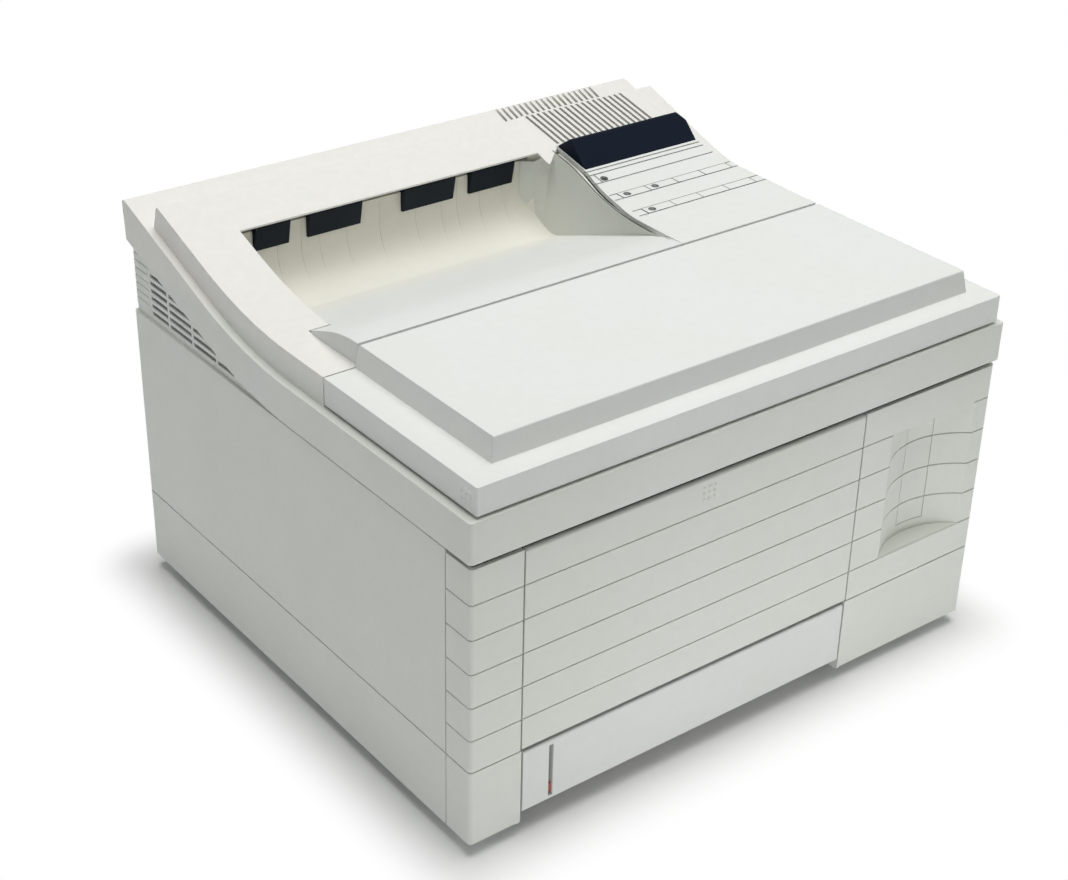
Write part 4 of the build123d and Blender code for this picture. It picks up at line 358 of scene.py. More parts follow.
@dataclass(frozen=True)
class GroundRubber:
    """Ground or foamed rubber, matt and slightly pitted.

    Attributes:
        name: the material's name.
        colour: base colour, linear.
        pits: pit cells per metre.
        depth: depth of the pits in metres.
    """

    name: str
    colour: Colour
    pits: float = 2600.0
    depth: float = 0.0001

    def material(self) -> bpy.types.Material:
        """Build the material.

        Returns:
            The finished material.
        """
        graph = NodeGraph(self.name)
        worn = graph.spread(graph.noise(60.0, 4.0), 0.0, 0.5, start=0.4, end=0.75)
        pale = tuple(min(1.0, 1.5 * part + 0.02) for part in self.colour)
        graph.surface({"Base Color": graph.blend(worn, self.colour, pale), "Roughness": 0.85,
                       "Specular IOR Level": 0.25})
        pitted = graph.add("ShaderNodeTexVoronoi", {"Vector": graph.place, "Scale": self.pits})
        graph.relief(pitted.outputs["Distance"], self.depth, strength=0.6)
        return graph.material


@dataclass(frozen=True)
class CircuitBoard:
    """Laminate with a solder mask over copper tracks.

    Attributes:
        name: the material's name.
        mask: colour of the mask.
        track: colour over a track.
        cells: tracks per metre.
    """

    name: str
    mask: Colour
    track: Colour
    cells: float = 260.0

    def material(self) -> bpy.types.Material:
        """Build the material.

        Returns:
            The finished material.
        """
        graph = NodeGraph(self.name)
        grid = graph.add(
            "ShaderNodeTexVoronoi", {"Vector": graph.place, "Scale": self.cells},
            distance="MANHATTAN", feature="DISTANCE_TO_EDGE",
        )
        lines = graph.spread(grid.outputs["Distance"], 1.0, 0.0, start=0.04, end=0.12)
        graph.surface({"Base Color": graph.blend(lines, self.mask, self.track), "Roughness": 0.35,
                       "Coat Weight": 0.3})
        graph.relief(lines, 0.00004, strength=0.5)
        return graph.material


class Finishes:
    """Every finish of the printer, made once and handed out by name."""

    def __init__(self) -> None:
        """Build all materials."""
        cream = (0.765, 0.795, 0.745)
        self.table: dict[str, bpy.types.Material] = {
            finish.name: finish.material()
            for finish in (
                MouldedPlastic("case_plastic", cream, (0.755, 0.775, 0.715)),
                MouldedPlastic("cover_plastic", (0.785, 0.81, 0.785), (0.78, 0.795, 0.76)),
                MouldedPlastic("crown_plastic", (0.765, 0.79, 0.745), (0.755, 0.77, 0.715),
                               warm=(0.822, 0.812, 0.775), warm_from=0.238),
                # Painted shade: a darker copy of the casing plastic, for the bin's right wall and pillar,
                # which lie in shade.
                MouldedPlastic("shaded_cheek_plastic", (0.70, 0.725, 0.675), (0.69, 0.70, 0.64)),
                MouldedPlastic("bin_plastic", (0.765, 0.785, 0.765), (0.76, 0.77, 0.745),
                               warm=(0.785, 0.77, 0.68), warm_from=0.055, warm_over=0.06, warm_axis="Y"),
                MouldedPlastic("key_plastic", (0.79, 0.81, 0.78), (0.785, 0.80, 0.765), 0.42,
                               grain=2400.0, depth=0.00003, edge=0.0003),
                MouldedPlastic("frame_plastic", (0.60, 0.60, 0.56), (0.56, 0.555, 0.51)),
                MouldedPlastic("acetal", (0.80, 0.79, 0.73), (0.77, 0.75, 0.68), 0.34,
                               grain=900.0, depth=0.00002, edge=0.0002),
                MouldedPlastic("black_plastic", (0.018, 0.018, 0.02), (0.028, 0.027, 0.026), 0.46),
                MouldedPlastic("flap_plastic", (0.006, 0.011, 0.018), (0.009, 0.014, 0.021), 0.5,
                               grain=900.0, specular=0.12),
                MouldedPlastic("phenolic_board", (0.34, 0.24, 0.12), (0.30, 0.21, 0.10), 0.5, grain=500.0),
                MouldedPlastic("motor_paint", (0.06, 0.06, 0.065), (0.08, 0.08, 0.08), 0.38),
                GlossPlastic("display_plastic", (0.006, 0.010, 0.020), 0.4, coat=0.0, specular=0.05),
                # Dark lines: printed outlines on the control panel, and the painted shadow band over the
                # bin's facing.
                GlossPlastic("print_line_and_painted_shadow", (0.09, 0.095, 0.095), 0.5, coat=0.0, specular=0.2),
                GlossPlastic("lamp_lens", (0.045, 0.05, 0.03), 0.16, coat=0.6),
                GlossPlastic("indicator_plastic", (0.50, 0.075, 0.04), 0.3, coat=0.2),
                GlossPlastic("drum_coating", (0.035, 0.25, 0.27), 0.12, coat=0.6),
                GlossPlastic("heat_coating", (0.03, 0.06, 0.05), 0.28),
                SheetMetal("plated_sheet", (0.66, 0.67, 0.68)),
                SheetMetal("spring_wire", (0.55, 0.55, 0.57), 0.28, (1.0, 1.0, 1.0)),
                SheetMetal("screw_metal", (0.60, 0.60, 0.62), 0.3, (6.0, 1.0, 6.0)),
                SheetMetal("brass", (0.68, 0.48, 0.20), 0.26, (8.0, 1.0, 1.0), (0.45, 0.30, 0.12)),
                SheetMetal("mirror_metal", (0.90, 0.90, 0.92), 0.12, (1.0, 1.0, 1.0), (0.86, 0.86, 0.88)),
                GroundRubber("foot_rubber", (0.022, 0.022, 0.024)),
                GroundRubber("roller_rubber", (0.05, 0.05, 0.056)),
                GroundRubber("foam", (0.03, 0.03, 0.032), 1400.0, 0.0003),
                CircuitBoard("logic_board", (0.012, 0.10, 0.04), (0.04, 0.22, 0.10)),
            )
        }

    def __getitem__(self, name: str) -> bpy.types.Material:
        """Material by name."""
        return self.table[name]


FINISH_NODES: dict[str, tuple[str, ...]] = {
    "case_plastic": ("base_pan", "left_side_panel", "right_side_panel", "front_left_corner",
                     "front_right_panel", "rear_panel", "mp_door", "rear_door", "power_key"),
    "crown_plastic": ("top_housing",),
    "bin_plastic": ("output_bin",),
    "cover_plastic": ("control_panel_bezel", "toner_door", "cassette_front"),
    "frame_plastic": ("toner_door_liner", "mp_tray", "mp_guide_left", "mp_guide_right", "cassette_tray"),
    "display_plastic": ("display_window",),
    "lamp_lens": ("status_lamps",),
    "screw_metal": ("case_screws",),
    "foot_rubber": ("feet",),
    "plated_sheet": ("lift_plate", "left_frame", "right_frame", "cross_members"),
    "spring_wire": ("lift_springs",),
    "indicator_plastic": ("paper_gauge",),
    "roller_rubber": ("pickup_roller", "registration_roller", "pressure_roller", "exit_roller"),
    "foam": ("transfer_roller",),
    "acetal": ("transfer_gear", "heat_roller_gear", "front_idler_gear", "rear_idler_gear"),
    "drum_coating": ("photo_drum",),
    "heat_coating": ("heat_roller",),
    "black_plastic": ("toner_cartridge", "fuser_housing", "laser_scanner", "ac_inlet", "fan_frame",
                      "cooling_fan"),
    "flap_plastic": ("exit_flaps",),
    "mirror_metal": ("polygon_mirror",),
    "motor_paint": ("main_motor",),
    "brass": ("motor_pinion",),
    "logic_board": ("formatter_board",),
    "phenolic_board": ("power_supply",),
}
NODE_FINISH = {node: finish for finish, nodes in FINISH_NODES.items() for node in nodes}


class Surfaces:
    """Turns numpy grids into mesh objects, and cleans and softens meshes."""

    @staticmethod
    def linked(name: str, data: bpy.types.ID) -> bpy.types.Object:
        """Put a mesh, lamp or camera into the scene as an object at the origin.

        Args:
            name: the object's name.
            data: what it shows.

        Returns:
            The new object.
        """
        made = bpy.data.objects.new(name, data)
        bpy.context.scene.collection.objects.link(made)
        return made

    @classmethod
    def sheets(cls, name: str, grids: Sequence[np.ndarray], material: bpy.types.Material,
               smooth: bool = True, wrap: bool = False) -> bpy.types.Object:
        """Put separate grids of places into one new object at the origin.

        Args:
            name: the object's name.
            grids: arrays of rows by columns by 3, in metres.
            material: the finish.
            smooth: True for smooth shading.
            wrap: True if each grid's last column is joined to its first.

        Returns:
            The new object.
        """
        points = [grid.reshape(-1, 3) for grid in grids]
        starts = np.cumsum([0] + [len(part) for part in points[:-1]])
        faces = [cls.grid_faces(*grid.shape[:2], wrap) + start for grid, start in zip(grids, starts)]
        mesh = bpy.data.meshes.new(name)
        mesh.from_pydata(np.concatenate(points).tolist(), [], np.concatenate(faces).tolist())
        mesh.validate()
        mesh.materials.append(material)
        if smooth:
            mesh.shade_smooth()
        mesh.update()
        return cls.linked(name, mesh)

    @staticmethod
    def grid_faces(rows: int, columns: int, wrap: bool = False) -> np.ndarray:
        """Quads of a grid of places, counted row by row.

        Args:
            rows: number of rows.
            columns: number of columns.
            wrap: True if the last column is joined to the first.

        Returns:
            Four corner numbers for each quad.
        """
        down = np.arange(rows - 1)[:, None] * columns
        across = np.arange(columns if wrap else columns - 1)[None, :]
        after = (across + 1) % columns
        below = down + columns
        quads = np.stack([down + across, down + after, below + after, below + across], axis=-1)
        return quads.reshape(-1, 4)

    @staticmethod
    def face_out(made: bpy.types.Object) -> bpy.types.Object:
        """Merge doubles and turn the faces of a closed mesh outwards.

        Args:
            made: the object whose mesh is cleaned.

        Returns:
            The same object.
        """
        work = bmesh.new()
        work.from_mesh(made.data)
        bmesh.ops.remove_doubles(work, verts=work.verts, dist=GRID_MERGE)
        bmesh.ops.recalc_face_normals(work, faces=work.faces)
        work.to_mesh(made.data)
        work.free()
        made.data.update()
        return made

    @staticmethod
    def soften(mesh: bpy.types.Mesh, degrees: float) -> None:
        """Give every corner of a triangle mesh the mean normal of the faces that carry on its own.

        Around each vertex, the faces whose normals lie within the angle of this corner's face are
        summed, each by its area, so a broad flat face keeps its own normal up to the line where a
        curve starts, and an edge sharper than the angle stays sharp.

        Args:
            mesh: a mesh of triangles with its doubles merged.
            degrees: the largest turn that is smoothed.
        """
        count = len(mesh.loops)
        vertex = np.empty(count, dtype=np.int64)
        mesh.loops.foreach_get("vertex_index", vertex)
        places = np.empty(len(mesh.vertices) * 3)
        mesh.vertices.foreach_get("co", places)
        spots = places.reshape(-1, 3)[vertex].reshape(-1, 3, 3)
        cross = np.cross(spots[:, 1] - spots[:, 0], spots[:, 2] - spots[:, 0])
        area = np.linalg.norm(cross, axis=1)
        flat = cross / np.maximum(area, TINY)[:, None]
        face = np.repeat(np.arange(count // 3), 3)
        order = np.argsort(vertex, kind="stable")
        ring_start = np.searchsorted(vertex[order], np.arange(len(mesh.vertices)))
        ring_size = np.bincount(vertex, minlength=len(mesh.vertices))
        limit = math.cos(math.radians(degrees))
        total = np.zeros((count, 3))
        for step in range(int(ring_size.max())):
            valid = step < ring_size[vertex]
            other = face[order[np.minimum(ring_start[vertex] + step, count - 1)]]
            near = valid & ((flat[face] * flat[other]).sum(axis=1) > limit)
            total += np.where(near, area[other], 0.0)[:, None] * flat[other]
        size = np.linalg.norm(total, axis=1)
        normal = np.where(size[:, None] > TINY, total / np.maximum(size, TINY)[:, None], flat[face])
        mesh.shade_smooth()
        mesh.normals_split_custom_set(normal.tolist())


def place(made: bpy.types.Object, body: Body, slot: Slot) -> bpy.types.Object:
    """Let a piece ride on its body.

    Args:
        made: the finished piece.
        body: the body that carries it.
        slot: the record's slot that its finish comes from; not used.

    Returns:
        The same object.
    """
    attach(made, body.value)
    LOG.info("%s: %d faces on %s", made.name, len(made.data.polygons), body.value)
    return made


@dataclass(frozen=True)
class SoftLamp:
    """A soft rectangular lamp.

    Attributes:
        name: the lamp's name.
        spot: where it hangs.
        aim: the point that it faces.
        size: its width and height in metres.
        power: its power in watts.
        tint: its colour.
    """

    name: str
    spot: Place
    aim: Place
    size: tuple[float, float]
    power: float
    tint: Colour = (1.0, 1.0, 1.0)

    def hang(self) -> None:
        """Put the lamp into the scene and turn it to the point that it faces."""
        data = bpy.data.lights.new(self.name, "AREA")
        data.shape = "RECTANGLE"
        data.size, data.size_y = self.size
        data.energy, data.color = self.power, self.tint
        lamp = Surfaces.linked(self.name, data)
        gaze = (Vector(self.aim) - Vector(self.spot)).normalized()
        lamp.matrix_world = Matrix.Translation(self.spot) @ gaze.to_track_quat("-Z", "Y").to_matrix().to_4x4()


@dataclass
class Studio:
    """Pale floor, soft studio light and the photograph's camera.

    The lamps are a large one overhead, faint ones low on the right and the left, and one close in
    front, which gives the light that a bright desk throws back on the foot of the front.

    Attributes:
        camera_place: where the camera stands.
        right: unit vector to the right in the picture.
        down: unit vector down in the picture.
        forward: unit vector into the picture.
        focal: focal length in pixels of the photograph.
        frame_width: width of the photograph in pixels.
        sensor: width of the camera's sensor in mm.
        clip: nearest and furthest distance that shows.
        sky: strength of the even light.
        sky_tint: its colour.
        lamps: the lamps.
        floor_reach: half the side of the floor.
        floor_tone: darkest and lightest grey of the floor.
        footprint: half sizes of the object, and a height above all of it.
        white_far: distance from the footprint where the floor shows plain white.
    """

    camera_place: Place = (-0.714895, -0.896816, 0.777145)
    right: Place = (0.79627536, -0.60459727, 0.02019129)
    down: Place = (-0.28594220, -0.40558974, -0.86817853)
    forward: Place = (0.53308775, 0.68553563, -0.49584105)
    focal: float = 1967.64
    frame_width: int = 1068
    sensor: float = 36.0
    clip: tuple[float, float] = (0.01, 50.0)
    sky: float = 0.17
    sky_tint: Colour = (0.95, 0.98, 1.0)
    lamps: tuple[SoftLamp, ...] = (
        SoftLamp("overhead", (0.1, -0.1, 2.3), (0.0, 0.0, 0.2), (1.7, 1.7), 42.0, (1.0, 0.995, 0.98)),
        SoftLamp("front_right", (1.1, -2.0, 0.55), (0.0, 0.0, 0.02), (1.2, 1.2), 1.0),
        SoftLamp("left", (-1.9, -0.9, 0.6), (0.0, 0.0, 0.02), (1.2, 1.2), 3.0),
        SoftLamp("desk_bounce", (0.02, -0.43, 0.045), (0.02, 0.0, 0.05), (0.5, 0.05), 0.16),
    )
    floor_reach: float = 6.0
    floor_tone: tuple[float, float] = (0.95, 0.98)
    footprint: Place = (0.2065, 0.1912, 1.0)
    white_far: float = 0.05

    def camera(self) -> None:
        """Set the camera where the photograph's stood."""
        data = bpy.data.cameras.new("camera")
        data.sensor_width = self.sensor
        data.lens = self.focal * self.sensor / self.frame_width
        data.clip_start, data.clip_end = self.clip
        camera = Surfaces.linked("camera", data)
        axes = np.array([self.right, -np.array(self.down), -np.array(self.forward)]).T
        matrix = Matrix(axes.tolist()).to_4x4()
        matrix.translation = self.camera_place
        camera.matrix_world = matrix
        bpy.context.scene.camera = camera

    @staticmethod
    def seen_rays(tree: bpy.types.NodeTree) -> bpy.types.NodeSocket:
        """One for rays that show the backdrop: camera, glossy and transmission rays.

        Args:
            tree: the node tree that the nodes are made in.

        Returns:
            The largest of the three ray flags.
        """
        path = tree.nodes.new("ShaderNodeLightPath")
        found = path.outputs["Is Camera Ray"]
        for flag in ("Is Glossy Ray", "Is Transmission Ray"):
            both = tree.nodes.new("ShaderNodeMath")
            both.operation = "MAXIMUM"
            tree.links.new(found, both.inputs[0])
            tree.links.new(path.outputs[flag], both.inputs[1])
            found = both.outputs[0]
        return found

    def floor(self) -> None:
        """Lay a pale floor that looks white away from the object and keeps the shadow beside it."""
        reach = self.floor_reach
        mesh = bpy.data.meshes.new("floor")
        mesh.from_pydata([(-reach, -reach, 0), (reach, -reach, 0), (reach, reach, 0), (-reach, reach, 0)], [],
                         [(0, 1, 2, 3)])
        graph = NodeGraph("floor_white")
        speckle = graph.spread(graph.noise(30.0, 3.0), *self.floor_tone)
        tone = graph.add("ShaderNodeCombineColor", {0: speckle, 1: speckle, 2: speckle})
        graph.surface({"Base Color": tone.outputs["Color"], "Roughness": 0.9, "Specular IOR Level": 0.1})
        beyond = graph.vector("SUBTRACT", graph.vector("ABSOLUTE", graph.place), self.footprint)
        beyond = graph.vector("MAXIMUM", beyond, (0.0, 0.0, 0.0))
        away = graph.vector("LENGTH", beyond, output="Value")
        lift = graph.add("ShaderNodeMapRange", {"Value": away, "From Min": 0.0, "From Max": self.white_far,
                                                "To Min": 0.0, "To Max": 1.0},
                         interpolation_type="SMOOTHSTEP")
        shown = graph.add("ShaderNodeMath", {0: self.seen_rays(graph.tree), 1: lift.outputs["Result"]},
                          operation="MULTIPLY")
        white = graph.add("ShaderNodeEmission", {"Strength": 1.0})
        mixed = graph.add("ShaderNodeMixShader", {0: shown.outputs[0], 1: graph.shader.outputs["BSDF"],
                                                  2: white.outputs["Emission"]})
        graph.tree.links.new(mixed.outputs["Shader"], graph.output.inputs["Surface"])
        mesh.materials.append(graph.material)
        floor = Surfaces.linked("floor", mesh)

    def light(self) -> None:
        """Weak even light from a world that looks white, and the lamps."""
        world = bpy.data.worlds.new("studio")
        bpy.context.scene.world = world
        world.use_nodes = True
        tree = world.node_tree
        tree.nodes.clear()
        output = tree.nodes.new("ShaderNodeOutputWorld")
        dim = tree.nodes.new("ShaderNodeBackground")
        dim.inputs["Color"].default_value = (*self.sky_tint, 1.0)
        dim.inputs["Strength"].default_value = self.sky
        white = tree.nodes.new("ShaderNodeBackground")
        white.inputs["Color"].default_value = (1.0, 1.0, 1.0, 1.0)
        white.inputs["Strength"].default_value = 1.0
        mixed = tree.nodes.new("ShaderNodeMixShader")
        tree.links.new(self.seen_rays(tree), mixed.inputs["Fac"])
        tree.links.new(dim.outputs["Background"], mixed.inputs[1])
        tree.links.new(white.outputs["Background"], mixed.inputs[2])
        tree.links.new(mixed.outputs["Shader"], output.inputs["Surface"])
        for lamp in self.lamps:
            lamp.hang()

    def build(self) -> None:
        """Camera, lights and floor."""
        self.camera()
        self.light()
        self.floor()
        bpy.context.scene.view_settings.view_transform = "Standard"


@dataclass(frozen=True)
class PlaneRound:
    """A round of the frame between two planes that run straight across the machine.

    Attributes:
        first: unit vector in y and z from the round's centre to the first plane.
        second: unit vector in y and z from the round's centre to the second plane.
        corner: y and z of the line where the planes meet.
        radius: radius of the round.
    """

    first: tuple[float, float]
    second: tuple[float, float]
    corner: tuple[float, float]
    radius: float

    def step(self) -> np.ndarray:
        """Vector from the centre of a round of radius one to the line where the planes meet."""
        return np.linalg.solve(np.array([self.first, self.second]), np.ones(2))

    def centre(self) -> np.ndarray:
        """Centre of the round in y and z."""
        return np.array(self.corner) - self.radius * self.step()

    def draw_out(self, spots: np.ndarray, smaller: float, widest: float = 76.0,
                 behind: float = -0.4, off: float = 0.25 * MM) -> np.ndarray:
        """Move the points of the round out to a smaller round between the same planes.

        A point of a round of radius R is its centre plus R times the unit vector n towards it. The
        smaller round's centre lies nearer the planes' meeting line by the step k per unit of radius,
        so the point moves by the radii's difference times k minus n.

        Args:
            spots: places of a mesh's vertices.
            smaller: the smaller radius.
            widest: largest angle in degrees between a moved point's vector and the first plane's.
            behind: smallest cosine of the angle between it and the second plane's.
            off: how far from the round a point may lie to count as its own.

        Returns:
            The places after the move.
        """
        arm = spots[:, 1:] - self.centre()
        reach = np.linalg.norm(arm, axis=1)
        toward = arm / np.maximum(reach, 1e-9)[:, None]
        on_round = np.abs(reach - self.radius) < off
        on_round &= toward @ np.array(self.first) > math.cos(math.radians(widest))
        on_round &= toward @ np.array(self.second) > behind
        shift = (self.radius - smaller) * (self.step() - toward)
        moved = spots.copy()
        moved[:, 1:] += np.where(on_round[:, None], shift, 0.0)
        return moved


def unit(y: float, z: float) -> tuple[float, float]:
    """Vector of length one along y and z."""
    return y / math.hypot(y, z), z / math.hypot(y, z)


# The ledge behind the bin rises backwards from a point given in y and z, up to the rear face. The bin's
# floor falls backwards from such a point to its rear wall. Both are slopes, height over depth.
LEDGE_RISE = 0.348
LEDGE_POINT = (45.8 * MM, 230.0 * MM)
REAR_FACE = 192.7 * MM
BIN_FALL = 0.375
BIN_START = (-23.0 * MM, 264.0 * MM)
BIN_WALL = 128.0 * MM

REAR_EDGE = PlaneRound(
    unit(-LEDGE_RISE, 1.0), (1.0, 0.0),
    (REAR_FACE, LEDGE_POINT[1] + LEDGE_RISE * (REAR_FACE - LEDGE_POINT[0])), 12.0 * MM,
)
BIN_BLEND = PlaneRound(
    (1.0, 0.0), unit(-BIN_FALL, -1.0),
    (BIN_WALL, BIN_START[1] - BIN_FALL * (BIN_WALL - BIN_START[0])), 28.0 * MM,
)


@dataclass
class SmoothShell:
    """Stands in for a swept casing part with a copy whose curved faces shade smoothly.

    The copy is the part's own triangles with their doubles merged. The top housing's rear edge is
    drawn up to a tighter round than the frame's.

    Attributes:
        nodes: the frame's nodes by name.
        finishes: the printer's finishes.
        rear_round: radius of the moulded rear edge.
    """

    nodes: dict[str, bpy.types.Object]
    finishes: Finishes
    rear_round: float = 3.5 * MM

    PARTS = {
        "top_housing": (Body.CASE, 22.0), "output_bin": (Body.CASE, 22.0),
        "control_panel_bezel": (Body.CASE, 22.0), "front_right_panel": (Body.CASE, 26.0),
        "front_left_corner": (Body.CASE, 26.0), "rear_panel": (Body.CASE, 26.0),
        "base_pan": (Body.CASE, 26.0), "toner_door": (Body.TONER_DOOR, 26.0),
        "mp_door": (Body.FRONT_DOOR, 26.0), "cassette_front": (Body.CASSETTE, 26.0),
        "exit_flaps": (Body.CASE, 26.0),
    }

    def copy(self, name: str, body: Body, degrees: float) -> bpy.types.Object:
        """Make the smooth copy of one node and let it stand for the node.

        Args:
            name: the node's name.
            body: the body that it rides on.
            degrees: largest turn that is smoothed.

        Returns:
            The copy.
        """
        mesh = self.nodes[name].data.copy()
        mesh.name = f"{name}_skin"
        work = bmesh.new()
        work.from_mesh(mesh)
        bmesh.ops.remove_doubles(work, verts=work.verts, dist=NODE_MERGE)
        bmesh.ops.triangulate(work, faces=work.faces)
        work.to_mesh(mesh)
        work.free()
        if name == "top_housing":
            places = np.empty(len(mesh.vertices) * 3)
            mesh.vertices.foreach_get("co", places)
            redrawn = REAR_EDGE.draw_out(places.reshape(-1, 3), self.rear_round)
            mesh.vertices.foreach_set("co", redrawn.ravel())
        mesh.materials.clear()
        mesh.materials.append(self.finishes[NODE_FINISH[name]])
        mesh.update()
        Surfaces.soften(mesh, degrees)
        made = Surfaces.linked(f"{name}_skin", mesh)
        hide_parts(name)
        return place(made, body, Slot.FLAP if name == "exit_flaps" else Slot.CASING)

    def build(self) -> None:
        """Make every smooth copy."""
        for name, (body, degrees) in self.PARTS.items():
            self.copy(name, body, degrees)


@dataclass
class FrameDress:
    """Gives every carried-over CAD node its finish.

    Attributes:
        nodes: the frame's nodes by name.
        finishes: the printer's finishes.
    """

    nodes: dict[str, bpy.types.Object]
    finishes: Finishes

    def dress(self) -> None:
        """Put each node's finish into its material slots; the keys share one finish."""
        for name, node in self.nodes.items():
            label = NODE_FINISH.get(name, "key_plastic")
            for slot in node.material_slots:
                slot.material = self.finishes[label]
            LOG.info("%s: %s", name, label)


@dataclass
class TactileDots:
    """Three by three raised dots that mark where a cover is gripped.

    Attributes:
        pitch: distance between dots.
        radius: radius of one dot.
        rise: height of one dot.
        sunk: how deep its foot stands in the face.
        rings: number of rings of places in a dot.
        around: places in each ring.
    """

    pitch: float = 4.0 * MM
    radius: float = 1.25 * MM
    rise: float = 1.0 * MM
    sunk: float = 0.05 * MM
    rings: int = 4
    around: int = 12

    def build(self, name: str, centre: Sequence[float], across: Sequence[float], up: Sequence[float],
              material: bpy.types.Material) -> bpy.types.Object:
        """Make nine domes on a flat face.

        Each dome is a spherical cap: at share s of its radius its height is rise * (1 - s * s).

        Args:
            name: the object's name.
            centre: middle of the group, on the face.
            across: unit vector of the group's rows.
            up: unit vector of its columns.
            material: the finish.

        Returns:
            The new object.
        """
        across, up = np.array(across, float), np.array(up, float)
        out = np.cross(across, up)
        share = np.linspace(0.0, 1.0, self.rings)
        turn = np.linspace(0, 2 * np.pi, self.around, endpoint=False)
        flat_a = self.radius * share[:, None] * np.cos(turn)
        flat_b = self.radius * share[:, None] * np.sin(turn)
        high = self.rise * (1 - share[:, None] ** 2) * np.ones_like(turn) - self.sunk
        cap = flat_a[..., None] * across + flat_b[..., None] * up + high[..., None] * out
        steps = (np.arange(3) - 1) * self.pitch
        caps = [cap + (np.array(centre) + a * across + b * up) for a in steps for b in steps]
        return Surfaces.face_out(Surfaces.sheets(name, caps, material, wrap=True))


@dataclass
class Deck:
    """Height of the control panel's top, with the rounding of its main bend.

    Attributes:
        corners: y and z of the profile's corners.
        sweep: radius of the round at the third corner.
    """

    corners: tuple[tuple[float, float], ...] = (
        (-40.4, 264.0), (-15.4, 264.0), (60.0, 265.374), (155.0, 286.084),
    )
    sweep: float = 160.0

    def height(self, y: np.ndarray) -> np.ndarray:
        """Straight lines between the corners, plus the round's sagitta near the bend.

        Args:
            y: places along the deck in mm.

        Returns:
            Heights in mm.
        """
        line = np.interp(y, [c[0] for c in self.corners], [c[1] for c in self.corners])
        first = math.atan2(self.corners[2][1] - self.corners[1][1], self.corners[2][0] - self.corners[1][0])
        second = math.atan2(self.corners[3][1] - self.corners[2][1], self.corners[3][0] - self.corners[2][0])
        reach = np.maximum(0.0, self.sweep * math.tan((second - first) / 2) - np.abs(y - self.corners[2][0]))
        return line + reach**2 / (2 * self.sweep)


